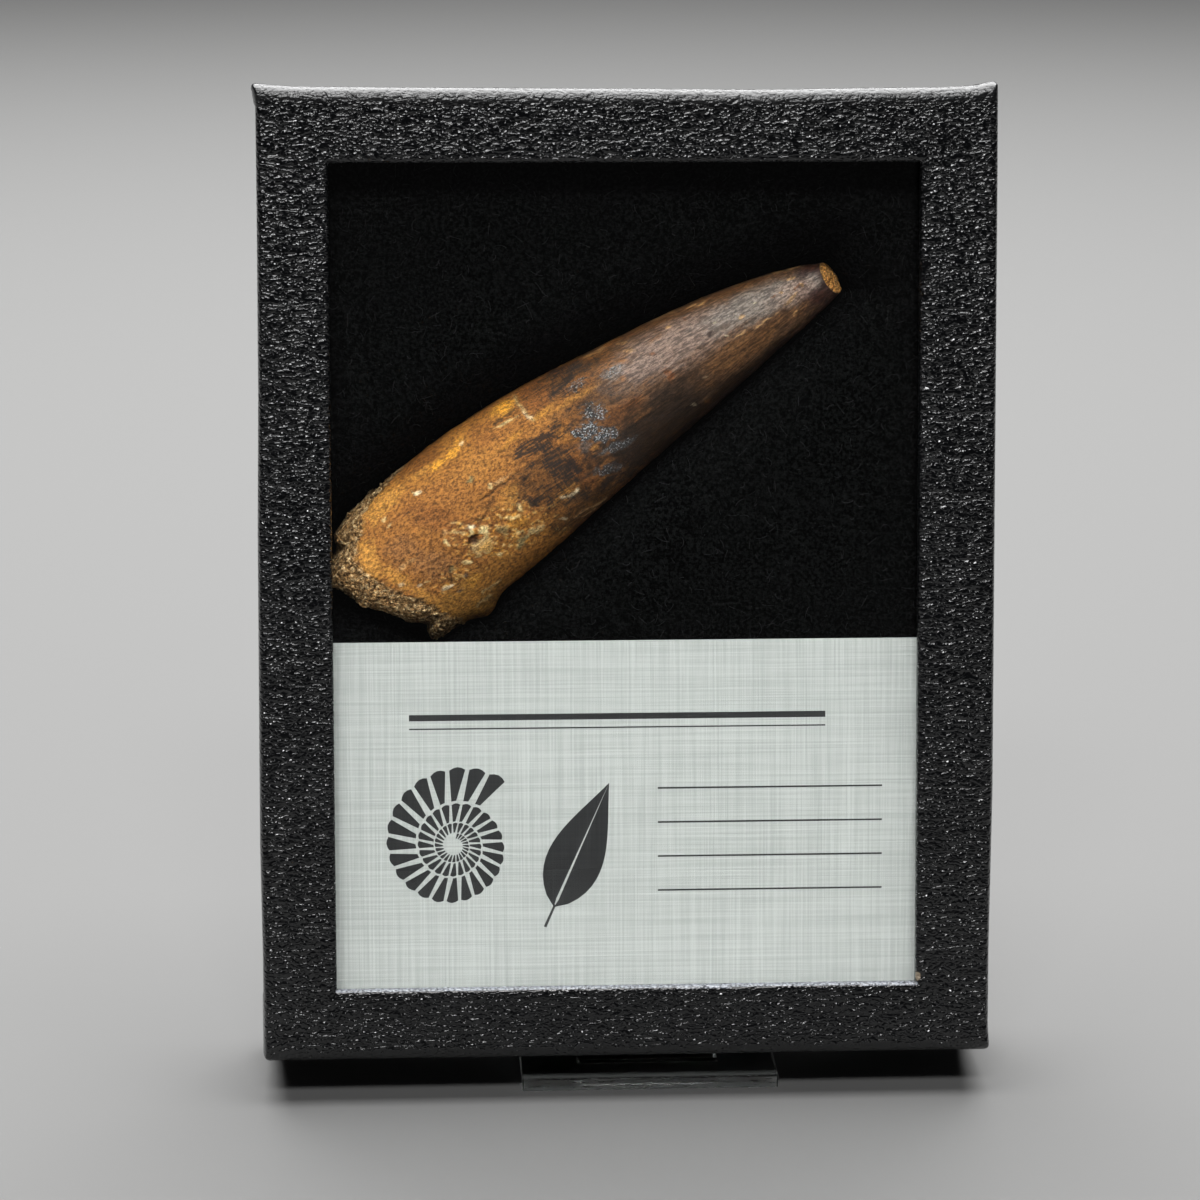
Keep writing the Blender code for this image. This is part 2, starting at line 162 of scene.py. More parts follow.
def curve(places, values, x):
    """A smooth curve through points, with slopes from their neighbours, as in the part's source."""
    places = np.asarray(places, float)
    values = np.asarray(values, float)
    last = len(places) - 1
    before = np.maximum(np.arange(last + 1) - 1, 0)
    after = np.minimum(np.arange(last + 1) + 1, last)
    slopes = (values[after] - values[before]) / (places[after] - places[before])
    x = np.clip(x, places[0], places[-1])
    i = np.clip(np.searchsorted(places, x, side="left") - 1, 0, last - 1)
    span = places[i + 1] - places[i]
    t = (x - places[i]) / span
    start = (1 + 2 * t) * (1 - t) ** 2 * values[i] + t * (1 - t) ** 2 * span * slopes[i]
    end = t * t * (3 - 2 * t) * values[i + 1] - t * t * (1 - t) * span * slopes[i + 1]
    return start + end


def to_row(points):
    """From the box's frame in mm to the row frame in metres."""
    u, v, w = np.asarray(points, float).T
    y = v * math.sin(LEAN) - w * math.cos(LEAN) + FRONT_EDGE_Y
    z = v * math.cos(LEAN) + w * math.sin(LEAN) + FRONT_EDGE_Z
    return np.stack((u, y, z), axis=1) * MM


def piece(name, points, faces, materials, place=None, face_slots=None, smooth=True):
    """A mesh in the row frame, from points in the box's frame; place is kept for the materials."""
    mesh = bpy.data.meshes.new(name)
    mesh.from_pydata(to_row(points).tolist(), [], [list(map(int, face)) for face in faces])
    for material in materials:
        mesh.materials.append(material)
    if face_slots is not None:
        mesh.polygons.foreach_set("material_index", np.asarray(face_slots, np.int32))
    mesh.polygons.foreach_set("use_smooth", np.full(len(mesh.polygons), smooth))
    kept = np.asarray(points if place is None else place, np.float32)
    layer = mesh.attributes.new("place", "FLOAT_VECTOR", "POINT")
    layer.data.foreach_set("vector", kept.ravel())
    mesh.update()
    made = bpy.data.objects.new(name, mesh)
    bpy.context.scene.collection.objects.link(made)
    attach(made, "root")
    return made


def add_number(obj, name, values):
    layer = obj.data.attributes.new(name, "FLOAT", "POINT")
    layer.data.foreach_set("value", np.asarray(values, np.float32))


def add_colour(obj, name, values):
    layer = obj.data.attributes.new(name, "FLOAT_COLOR", "POINT")
    full = np.ones((len(values), 4), np.float32)
    full[:, :3] = values
    layer.data.foreach_set("color", full.ravel())


def ring_faces(rings, sides, closed_rings=False):
    """Quads between rings of points, each ring closed on itself."""
    first = np.arange(rings if closed_rings else rings - 1)
    i, j = np.meshgrid(first, np.arange(sides), indexing="ij")
    nxt = (j + 1) % sides
    up = (i + 1) % rings
    faces = np.stack((i * sides + j, i * sides + nxt, up * sides + nxt, up * sides + j), axis=-1)
    return faces.reshape(-1, 4)


def linear(colour):
    """From a colour as a screen shows it, 0 to 255, to linear light."""
    c = np.asarray(colour, float) / 255
    return np.where(c <= 0.04045, c / 12.92, ((c + 0.055) / 1.055) ** 2.4)


class Amount:
    """A number that a material's nodes work out, to be written in plain sums."""

    def __init__(self, graph, socket):
        self.graph = graph
        self.socket = socket

    def __add__(self, other):
        return self.graph.math("ADD", self, other)

    def __sub__(self, other):
        return self.graph.math("SUBTRACT", self, other)

    def __rsub__(self, other):
        return self.graph.math("SUBTRACT", other, self)

    def __mul__(self, other):
        return self.graph.math("MULTIPLY", self, other)

    def __abs__(self):
        return self.graph.math("ABSOLUTE", self)


class Graph:
    """A short way to write a material's nodes."""

    def __init__(self, name):
        self.material = bpy.data.materials.new(name)
        self.material.use_nodes = True
        self.tree = self.material.node_tree
        self.shader = self.tree.nodes["Principled BSDF"]

    def set(self, **values):
        """Sets or links the shader's own sockets; an underscore stands for a space."""
        for name, value in values.items():
            self.join(value, self.shader.inputs[name.replace("_", " ")])

    def join(self, value, socket):
        if isinstance(value, Amount):
            value = value.socket
        if isinstance(value, bpy.types.NodeSocket):
            self.tree.links.new(value, socket)
        elif isinstance(value, (tuple, list)) and socket.type == "RGBA":
            socket.default_value = (*value[:3], 1.0)
        else:
            socket.default_value = value

    def node(self, kind, inputs=(), **settings):
        made = self.tree.nodes.new("ShaderNode" + kind)
        for name, value in settings.items():
            setattr(made, name, value)
        for key, value in dict(inputs).items():
            self.join(value, made.inputs[key])
        return made

    def value(self, name):
        return Amount(self, self.node("Attribute", attribute_name=name).outputs["Fac"])

    def colour(self, name):
        return self.node("Attribute", attribute_name=name).outputs["Color"]

    def place(self, scale=(1, 1, 1), turn=(0, 0, 0)):
        """The piece's own coordinates in mm, turned and then scaled."""
        vector = self.node("Attribute", attribute_name="place").outputs["Vector"]
        inputs = {"Vector": vector, "Rotation": turn, "Scale": scale}
        return self.node("Mapping", inputs).outputs["Vector"]

    def row_place(self, scale=(1, 1, 1), turn=(0, 0, 0)):
        """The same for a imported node, from its place in the row frame."""
        vector = self.node("TexCoord").outputs["Object"]
        scaled = self.node("VectorMath", {0: vector, "Scale": 1 / MM}, operation="SCALE").outputs[0]
        inputs = {"Vector": scaled, "Rotation": turn, "Scale": scale}
        return self.node("Mapping", inputs).outputs["Vector"]

    def noise(self, vector, scale=1.0, detail=2.0, roughness=0.5, distortion=0.0):
        inputs = {"Vector": vector, "Scale": scale, "Detail": detail, "Roughness": roughness}
        inputs["Distortion"] = distortion
        return Amount(self, self.node("TexNoise", inputs).outputs["Fac"])

    def cells(self, vector, scale=1.0):
        """How far the nearest cell's middle is."""
        made = self.node("TexVoronoi", {"Vector": vector, "Scale": scale})
        return Amount(self, made.outputs["Distance"])

    def math(self, operation, first, second=0.0, clamp=False):
        inputs = {0: first, 1: second}
        made = self.node("Math", inputs, operation=operation, use_clamp=clamp)
        return Amount(self, made.outputs[0])

    def span(self, value, low, high, out_low=0.0, out_high=1.0):
        """value between low and high becomes a number between the two others."""
        inputs = {"Value": value, 1: low, 2: high, 3: out_low, 4: out_high}
        made = self.node("MapRange", inputs, interpolation_type="SMOOTHSTEP")
        return Amount(self, made.outputs[0])

    def mix(self, amount, first, second, blend="MIX"):
        made = self.node("Mix", data_type="RGBA", blend_type=blend)
        self.join(amount, made.inputs[0])
        self.join(first, made.inputs[6])
        self.join(second, made.inputs[7])
        return made.outputs[2]

    def bump(self, height, distance, strength=1.0, before=None):
        inputs = {"Height": height, "Distance": distance * MM, "Strength": strength}
        if before is not None:
            inputs["Normal"] = before
        return self.node("Bump", inputs).outputs["Normal"]


# The pressed grain: pebbles to the mm, how they and the creases lean, and how deep the grain is
PEBBLES_PER_MM = (1.9, 2.3, 1.9)
PEBBLE_TURN = math.radians(-5)
PEBBLE_DRIFT = 1.2
PEBBLE_FLAT = 0.26
CREASE_TURN = math.radians(-9)
CREASE_SHARE = 0.16
GRAIN_DEPTH = 0.16
# Where the paper is torn, from the window's lower right corner, the bare board under it, and the
# pale colour painted on the paper's fold as a painted highlight, where the lamp gleams on it
TORN_FROM_CORNER = (0.1, 0.75)
TORN_DEPTH = -0.2
TORN_BOARD = (0.34, 0.27, 0.19)
LIP_HIGHLIGHT_COLOUR = (0.36, 0.38, 0.43)


def leatherette():
    """Black paper with a pressed grain: flat pebbles with sloping sides, some deep, some faint."""
    g = Graph("leatherette")
    drift = g.node("TexNoise", {"Vector": g.place(), "Scale": 0.6, "Detail": 1.0}).outputs["Color"]
    bent = g.node("VectorMath", {0: drift, "Scale": PEBBLE_DRIFT}, operation="SCALE").outputs[0]
    wander = g.node("VectorMath", {0: g.place(), 1: bent}, operation="ADD").outputs[0]
    inputs = {"Vector": wander, "Rotation": (0, 0, PEBBLE_TURN), "Scale": PEBBLES_PER_MM}
    far = g.cells(g.node("Mapping", inputs).outputs["Vector"])
    sides = g.math("MAXIMUM", far - PEBBLE_FLAT, 0.0)
    depth = g.span(g.noise(g.place((1.1, 1.9, 1.5)), 1.0, 2.0, 0.6), 0.36, 0.62, 0.1, 1.3)
    up = g.node("SeparateXYZ", {0: g.place()}).outputs[1]
    depth = depth * g.span(up, BOX_HEIGHT / 2, BOX_HEIGHT, 0.88, 1.0)
    creases = g.noise(g.place((0.1, 0.55, 0.5), (0, 0, CREASE_TURN)), 1.0, 2.0, 0.4, 0.5)
    crease = g.span(abs(creases - 0.5), 0.0, 0.05)
    edge = g.value("edge")
    height = (crease * CREASE_SHARE - sides * depth) * (1.0 - edge * 0.45)
    fine = g.noise(g.place(), 3.4, 2.0, 0.6)
    # the paper is torn at the window's lower right corner, down to the board
    torn_at = WINDOW_MIDDLE + WINDOW_HALF * (1, -1) + TORN_FROM_CORNER
    inputs = {0: g.place(), 1: (*torn_at, TORN_DEPTH)}
    away = g.node("VectorMath", inputs, operation="DISTANCE").outputs["Value"]
    torn = g.span(fine * 0.5 + away, 0.65, 0.8, 1.0, 0.0)
    black = g.mix(fine, (0.0006, 0.0007, 0.0011), (0.0026, 0.0028, 0.0036))
    # painted highlight: the paper folded in along the window's lower edge is painted pale where the lamp
    # gleams on it
    rim_amount = g.value("lip") * g.span(fine, 0.38, 0.6, 0.2, 1.0)
    black = g.mix(rim_amount, black, LIP_HIGHLIGHT_COLOUR)
    g.set(
        Base_Color=g.mix(torn, black, TORN_BOARD),
        Roughness=edge * 0.14 + 0.16,
        Specular_IOR_Level=0.7,
        Normal=g.bump(height, GRAIN_DEPTH),
    )
    return g.material


def board():
    """The lid's raw inside."""
    g = Graph("board_inside")
    grain = g.noise(g.place(), 1.5, 3.0)
    g.set(Base_Color=g.mix(grain, (0.012, 0.012, 0.013), (0.02, 0.02, 0.021)), Roughness=0.85)
    g.set(Normal=g.bump(grain, 0.03))
    return g.material


def tray_paper():
    """Smooth black paper on the tray, with a faint grain and scuffs."""
    g = Graph("tray_paper")
    grain = g.noise(g.row_place(), 3.0, 3.0, 0.6)
    scuffs = g.span(g.noise(g.row_place((0.15, 1, 1)), 0.8, 4.0, 0.7), 0.62, 0.75)
    base = g.mix(grain, (0.010, 0.010, 0.011), (0.018, 0.018, 0.019))
    g.set(
        Base_Color=g.mix(scuffs, base, (0.035, 0.034, 0.032)),
        Roughness=g.span(grain, 0.3, 0.7, 0.55, 0.75),
        Normal=g.bump(grain, 0.03),
    )
    return g.material


def felt():
    """Near-black felt: a soft nap with fine fibres and lighter dust."""
    g = Graph("felt")
    nap = g.noise(g.place(), 2.4, 4.0, 0.8)
    clumps = g.noise(g.place(), 0.7, 3.0, 0.6)
    dust = g.span(g.noise(g.place(), 6.0, 1.0), 0.74, 0.80)
    base = g.mix(g.span(nap, 0.44, 0.60), (0.0002, 0.0002, 0.0002), (0.0070, 0.0071, 0.0072))
    base = g.mix(g.span(clumps, 0.5, 0.75, 0.0, 0.3), base, (0.005, 0.005, 0.005))
    g.set(
        Base_Color=g.mix(dust * 0.5, base, (0.06, 0.06, 0.062)),
        Roughness=0.95,
        Specular_IOR_Level=0.0,
        Normal=g.bump(nap + clumps, 0.18),
    )
    return g.material


def fibre():
    """Loose black threads, some a little greyer than others."""
    g = Graph("felt_fibre")
    shade = g.span(g.noise(g.place(), 0.9, 2.0), 0.35, 0.65)
    g.set(
        Base_Color=g.mix(shade, (0.007, 0.007, 0.008), (0.016, 0.016, 0.017)),
        Roughness=g.span(shade, 0.0, 1.0, 0.8, 0.6),
        Specular_IOR_Level=0.1,
    )
    return g.material


THREAD_PITCH = 0.22


def linen(name, threads_between, dark, light, roughness, depth):
    """A linen finish: crossing threads, as long noise both ways, give its colour and its relief."""
    g = Graph(name)
    across = g.noise(g.place((0.05, 1 / THREAD_PITCH, 1)), 1.0, 2.0, 0.7)
    upward = g.noise(g.place((1 / THREAD_PITCH, 0.05, 1)), 1.0, 2.0, 0.7)
    threads = (across + upward) * 0.35
    g.set(
        Base_Color=g.mix(g.span(threads, *threads_between), dark, light),
        Roughness=roughness,
        Normal=g.bump(threads, depth),
    )
    return g.material


def card():
    """White card."""
    return linen("label_card", (0.24, 0.46), (0.43, 0.445, 0.43), (0.575, 0.59, 0.572), 0.75, 0.10)


def ink():
    """Black print on the same linen."""
    return linen("label_ink", (0.2, 0.5), (0.012, 0.012, 0.013), (0.022, 0.022, 0.023), 0.55, 0.08)


def clear(name, ior, tint, roughness, normal=None, graph=None):
    """A clear material that lets the lamps' light through to what is behind it."""
    g = graph or Graph(name)
    g.set(Base_Color=tint, Roughness=roughness, IOR=ior, Transmission_Weight=1.0)
    if normal is not None:
        g.set(Normal=normal)
    rays = g.node("LightPath").outputs["Is Shadow Ray"]
    through = g.node("BsdfTransparent", {"Color": (0.93, 0.95, 0.94)})
    both = g.node("MixShader", {0: rays, 1: g.shader.outputs[0], 2: through.outputs[0]})
    g.tree.links.new(both.outputs[0], g.tree.nodes["Material Output"].inputs["Surface"])
    return g.material


def glass():
    """The box's pane."""
    return clear("glass", 1.5, (0.985, 0.995, 0.99), 0.0)


# The easel's sawn front edge is forward of these, in metres in the row frame
SAWN_FRONT_Y = (-0.0209, -0.0207)


def acrylic():
    """Clear plastic: polished faces, and sawn edges that are frosted and scratched."""
    g = Graph("clear_plastic")
    facing = g.node("SeparateXYZ", {0: g.node("NewGeometry").outputs["Normal"]})
    side = g.span(g.math("ABSOLUTE", facing.outputs["X"]), 0.7, 0.9)
    front = g.span(facing.outputs["Y"], -0.98, -0.9, 1.0, 0.0)
    place = g.node("SeparateXYZ", {0: g.node("TexCoord").outputs["Object"]})
    at_front = g.span(place.outputs["Y"], *SAWN_FRONT_Y, 1.0, 0.0)
    sawn = g.math("ADD", side, front * at_front, clamp=True)
    scratch = g.noise(g.row_place((0.35, 1, 6)), 1.0, 4.0, 0.7)
    fine = g.noise(g.row_place(), 0.4, 3.0, 0.6)
    frosted = g.span(scratch, 0.3, 0.7, 0.22, 0.5)
    polished = g.span(fine, 0.45, 0.75, 0.015, 0.05)
    roughness = g.node("Mix", {0: sawn, 2: polished, 3: frosted}, data_type="FLOAT").outputs[0]
    rough_bump = g.bump(scratch * sawn, 0.12)
    return clear("clear_plastic", 1.49, (0.97, 0.985, 0.985), roughness, rough_bump, g)


def floor():
    """The studio's plain floor."""
    g = Graph("pale_floor")
    g.set(Base_Color=(0.175, 0.175, 0.173), Roughness=0.8, Specular_IOR_Level=0.1)
    return g.material


# Round a rectangle: how many points on each of its sides
SIDE_POINTS = (190, 230)
CORNER_ROUND = 0.7
# How far the lid's walls are drawn in, in mm, at places along them; its corners stand proud
LEFT_AT = (0.0, 12.0, 25.0, 60.0, 75.0, 95.0, 106.5, 109.4)
LEFT_IN = (0.15, 0.15, 0.0, 0.2, 0.45, 0.55, 0.55, 0.1)
RIGHT_AT = (0.0, 3.0, 12.0, 30.0, 100.0, 109.4)
RIGHT_IN = (0.1, 0.3, 0.3, 0.0, 0.05, 0.1)
TOP_AT = (-41.3, -39.5, -36.5, -20.0, -3.0, 14.0, 25.0, 35.0, 38.8, 40.4, 41.3)
TOP_IN = (0.15, 0.4, 0.6, 0.75, 0.85, 1.0, 0.85, 0.75, 0.55, 0.15, 0.05)
BOTTOM_IN = 0.08
INNER_DRAW = 0.25
TOP_EDGE_ROUND = 1.45
# The side edges are rounded less than the ends', from this ring of the section on
ROUND_SHARE = np.array([0.42, 1.0])
ROUND_FROM = 9
WINDOW_EDGE_ROUND = 0.5
WINDOW_CORNERS = (0.12, 0.1)
LEAST_CORNER = 0.05
# The fold at the window's lower edge starts this far below the front
LIP_FROM = 0.15
# The card under the paper isn't quite flat: how much, per mm how often, and where that fades out
WAVE_DEPTH = 0.10
WAVES_PER_MM = 0.06
WAVE_FADES = (1.5, 3.0)
# The paper's laps at the ends of the side walls: length, thickness and between which depths
LAP_LENGTH = 7.5
LAP_THICK = 0.11
LAP_BETWEEN = (-18.2, -1.8)


def rectangle(half, centre, w, corner, drawn=0.0, most=1.0):
    """Points round a rectangle with round corners, starting at its lower left; drawn in by a share."""
    n_u, n_v = SIDE_POINTS
    run_u = np.linspace(-1, 1, n_u, endpoint=False)
    run_v = np.linspace(-1, 1, n_v, endpoint=False)
    run_u = run_u + 0.1 * np.sin(np.pi * run_u)
    run_v = run_v + 0.1 * np.sin(np.pi * run_v)
    u = np.concatenate((run_u, np.ones(n_v), -run_u, -np.ones(n_v))) * half[0]
    v = np.concatenate((-np.ones(n_u), run_v, np.ones(n_u), -run_v)) * half[1]
    over = np.stack((np.abs(u) - half[0] + corner, np.abs(v) - half[1] + corner), axis=1)
    in_corner = (over > 0).all(axis=1)
    length = np.linalg.norm(over, axis=1)
    scale = np.where(in_corner, corner / np.maximum(length, 1e-9), 1.0)
    u = np.where(in_corner, np.sign(u) * (half[0] - corner + over[:, 0] * scale), u)
    v = np.where(in_corner, np.sign(v) * (half[1] - corner + over[:, 1] * scale), v)
    high = v + centre[1]
    side_in = np.where(u < 0, np.interp(high, LEFT_AT, LEFT_IN), np.interp(high, RIGHT_AT, RIGHT_IN))
    end_in = np.where(v > 0, np.interp(u, TOP_AT, TOP_IN), BOTTOM_IN)
    to_side = np.minimum(side_in * drawn, most) * np.abs(u / half[0]) ** 8
    to_end = np.minimum(end_in * drawn, most) * np.abs(v / half[1]) ** 8
    u = u - np.sign(u) * to_side
    v = v - np.sign(v) * to_end
    return np.stack((u + centre[0], v + centre[1], np.full(len(u), w)), axis=1)


def lid_profile():
    """The lid's section as (share of the way to the window, inset in mm, w), round and back."""
    outer = [(0, 0.4, -LID_DEPTH), (0, 0.12, -18.38), (0, 0.0, -18.1)]
    outer += [(0, 0.0, w) for w in (-15.0, -12.0, -9.0, -6.0, -3.5, -2.2)]
    for k in range(9):
        turn = math.pi / 2 * k / 8
        inset = TOP_EDGE_ROUND * (1 - math.cos(turn))
        outer.append((0, inset, -TOP_EDGE_ROUND * (1 - math.sin(turn))))
    face = [(k / 8, 0.0, 0.0) for k in range(1, 8)]
    inner = []
    for k in range(6):
        turn = math.pi / 2 * k / 5
        inset = WINDOW_EDGE_ROUND * (1 - math.sin(turn))
        inner.append((1, -inset, -WINDOW_EDGE_ROUND * (1 - math.cos(turn))))
    inner += [(1, 0.0, -1.0), (1, 0.0, -1.4), (1, -0.2, -WALL)]
    back = [(0, WALL + 0.4, -WALL), (0, WALL, -WALL - 0.4), (0, WALL, -9.0), (0, WALL, -18.2)]
    back += [(0, WALL - 0.3, -LID_DEPTH)]
    return outer, face, inner, back


def lid_rings(outer, face, inner, back):
    """The lid's section carried round the box and the window, ring by ring."""
    rings = []
    for share, inset, w in outer + face + inner + back:
        if 0 < share < 1:
            size = (BOX_HALF - TOP_EDGE_ROUND * ROUND_SHARE) * (1 - share)
            size = size + (WINDOW_HALF + WINDOW_EDGE_ROUND) * share
            middle = BOX_MIDDLE * (1 - share) + WINDOW_MIDDLE * share
            ring = rectangle(size, middle, w, LEAST_CORNER, 1 - share)
        elif share == 0:
            seen = len(rings) < len(outer)
            most = 1.0 if seen else INNER_DRAW
            each = inset * (ROUND_SHARE if seen and len(rings) >= ROUND_FROM else 1)
            corner = max(CORNER_ROUND - inset, LEAST_CORNER)
            ring = rectangle(BOX_HALF - each, BOX_MIDDLE, w, corner, 1.0, most)
        else:
            corner = WINDOW_CORNERS[0] if inset == 0 else WINDOW_CORNERS[1]
            ring = rectangle(WINDOW_HALF - inset, WINDOW_MIDDLE, w, corner)
        rings.append(ring)
    return rings


def make_lid():
    """The lid, from its back edge round the front and the window to its bare inside."""
    outer, face, inner, back = lid_profile()
    rings = lid_rings(outer, face, inner, back)
    sides = len(rings[0])
    points = np.concatenate(rings)
    u, v, w = points.T
    wave = noise(np.stack((u * WAVES_PER_MM, v * WAVES_PER_MM, w * 0), axis=1)) * 0.5 + 0.5
    front = ease(w / WAVE_FADES[0] + 1) * ease((BOX_HALF[0] - np.abs(u)) / WAVE_FADES[1])
    points[:, 2] -= WAVE_DEPTH * wave * front
    near_end = np.minimum(v, BOX_HEIGHT - v)
    lap = (near_end < LAP_LENGTH) & (np.abs(u) > BOX_HALF[0] - 0.5)
    lap &= (w > LAP_BETWEEN[0]) & (w < LAP_BETWEEN[1])
    points[:, 0] += np.sign(u) * np.where(lap, LAP_THICK, 0.0)
    points[:, 0] = np.clip(points[:, 0], -BOX_HALF[0], BOX_HALF[0])
    faces = ring_faces(len(rings), sides, closed_rings=True)
    shown = len(outer) + len(face) + len(inner)
    slots = (np.arange(len(faces)) // sides >= shown - 1).astype(int)
    materials = [leatherette(), board()]
    made = piece("lid_shell", points, faces, materials, face_slots=slots)
    ring_of = np.arange(len(points)) // sides
    on_top = points[:, 1] > BOX_HEIGHT - TOP_EDGE_ROUND - 1
    add_number(made, "edge", (ring_of >= ROUND_FROM) & (ring_of < len(outer)) & on_top)
    in_window = (ring_of >= shown - len(inner)) & (ring_of < shown)
    window_low = WINDOW_MIDDLE[1] - WINDOW_HALF[1]
    folded = in_window & (points[:, 2] < -LIP_FROM) & (points[:, 1] < window_low + 0.01)
    add_number(made, "lip", folded)
    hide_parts("lid")
    return made


def tooth_section(s):
    """The middle, half the width and the depth of the tooth's section at s."""
    upper = curve(EDGE_PLACES, EDGE_UPPER, s)
    lower = curve(EDGE_PLACES, EDGE_LOWER, s)
    depth = curve(DEPTH_PLACES, DEPTHS, s)
    return (upper + lower) / 2, (upper - lower) / 2, depth


def tooth_to_box(points):
    """From the tooth's own axes to the box's u, v, w."""
    along, across, out = points.T
    u = TOOTH_BASE[0] + along * math.cos(TOOTH_TILT) - across * math.sin(TOOTH_TILT)
    v = TOOTH_BASE[1] + along * math.sin(TOOTH_TILT) + across * math.cos(TOOTH_TILT)
    return np.stack((u, v, TOOTH_BASE[2] + out), axis=1)


def broken_end(across, out, inner):
    """How far the break stands along the tooth: at its rim, or at its face as inner goes to 1."""
    rim = np.interp(across, BREAK_ACROSS, BREAK_AT)
    face = curve(FACE_ACROSS, FACE_AT, across)
    return rim + (face - rim) * inner + BREAK_SLANT * np.maximum(-out, 0)


def lump(s, angle):
    """The lump of rock on the lower side."""
    off = (s - LUMP_AT) / LUMP_REACH
    return LUMP_HEIGHT * np.exp(-off * off) * np.exp(-(np.cos(angle) + 1) / 0.12)


def tooth_grid():
    """The tooth's side, its broken base and its broken tip, in its own axes, ring by ring."""
    turn = 2 * np.pi * np.arange(TOOTH_SIDES) / TOOTH_SIDES
    angle = turn + SIDE_CROWDING * np.cos(turn)
    t = np.linspace(0, 1, TOOTH_RINGS)
    s = (TOOTH_LENGTH * (t - RING_CROWDING * np.sin(2 * np.pi * t)))[:, None]
    angle = angle[None, :]
    middle, width, depth = tooth_section(s)
    reach = 1 + lump(s, angle) / width
    rim_amount = 1 - RIM_DROP * (1 - np.minimum(s / RIM_WORN, 1)) ** 2
    across = middle + width * np.cos(angle) * reach
    out = depth * np.sin(angle) * rim_amount
    along = s + broken_end(across, out, 0) * (1 - ease(s / BASE_FADE))
    tip = ease((s - TOOTH_LENGTH + TIP_FADE) / TIP_FADE)
    along = along - TIP_SLANT * (out + TIP_SETBACK * depth) * tip
    side = np.stack((along, across, out), axis=-1)
    normal = np.stack((0 * along, np.cos(angle) / width, np.sin(angle) / depth), axis=-1)
    normal /= np.linalg.norm(normal, axis=-1, keepdims=True)

    k = np.arange(1, BASE_CAP_RINGS + 1)[:, None] / (BASE_CAP_RINGS + CAP_HOLE)
    middle, width, depth = tooth_section(0.0)
    across = middle + width * np.cos(angle) * (1 - k)
    out = depth * np.sin(angle) * (1 - k) * (1 - RIM_DROP)
    along = broken_end(across, out, ease(k * 2)) - BREAK_BULGE * (1 - (1 - k) ** 2)
    base = np.stack((along, across, out), axis=-1)[::-1]

    rim = side[-1]
    centre = rim.mean(axis=0)
    k = np.arange(1, TIP_CAP_RINGS + 1)[:, None, None] / (TIP_CAP_RINGS + CAP_HOLE)
    tip_face = rim + (centre - rim) * k
    tip_face[..., 0] += TIP_BULGE * (1 - (1 - k[..., 0]) ** 2)

    points = np.concatenate((base, side, tip_face))
    normals = np.zeros_like(points)
    normals[: len(base), :, 0] = -1
    normals[len(base) : len(base) + TOOTH_RINGS] = normal
    normals[len(base) + TOOTH_RINGS :, :, 0] = 1
    return points.reshape(-1, 3), normals.reshape(-1, 3), len(base), len(points)


# The tooth's colours, as the photograph shows them in full light
# The darkest crown colour is partly painted shade: the shade on the crown's lower side.
# The pinkish-grey, grey and pale pink colours are partly the crown's own colour and partly painted
# highlight: the lamp's sheen along its upper side and at its tip.
PALETTE = {
    "sandstone": (148, 117, 78),
    "sand_light": (214, 190, 148),
    "sand_dark": (84, 62, 36),
    "ochre": (186, 132, 60),
    "yellow": (216, 154, 54),
    "orange": (152, 102, 42),
    "brown": (136, 88, 40),
    "warm_brown": (146, 96, 44),
    "red_brown": (112, 66, 30),
    "dark_brown": (82, 54, 26),
    "grey_brown": (126, 90, 60),
    "olive": (130, 94, 38),
    "cream": (214, 194, 140),
    "white": (226, 210, 176),
    "grey_green": (132, 122, 84),
    "black": (34, 28, 20),
    "slate": (82, 86, 90),
    "dark_red": (62, 34, 22),
    "crown": (90, 66, 48),
    "pink_grey": (122, 100, 88),
    "pale_pink": (190, 160, 145),
    "grey": (118, 107, 99),
    "crown_dark": (42, 29, 19),
    "crown_orange": (102, 70, 40),
    "tan": (190, 148, 98),
    "plum": (58, 40, 38),
    "tip": (204, 148, 78),
}

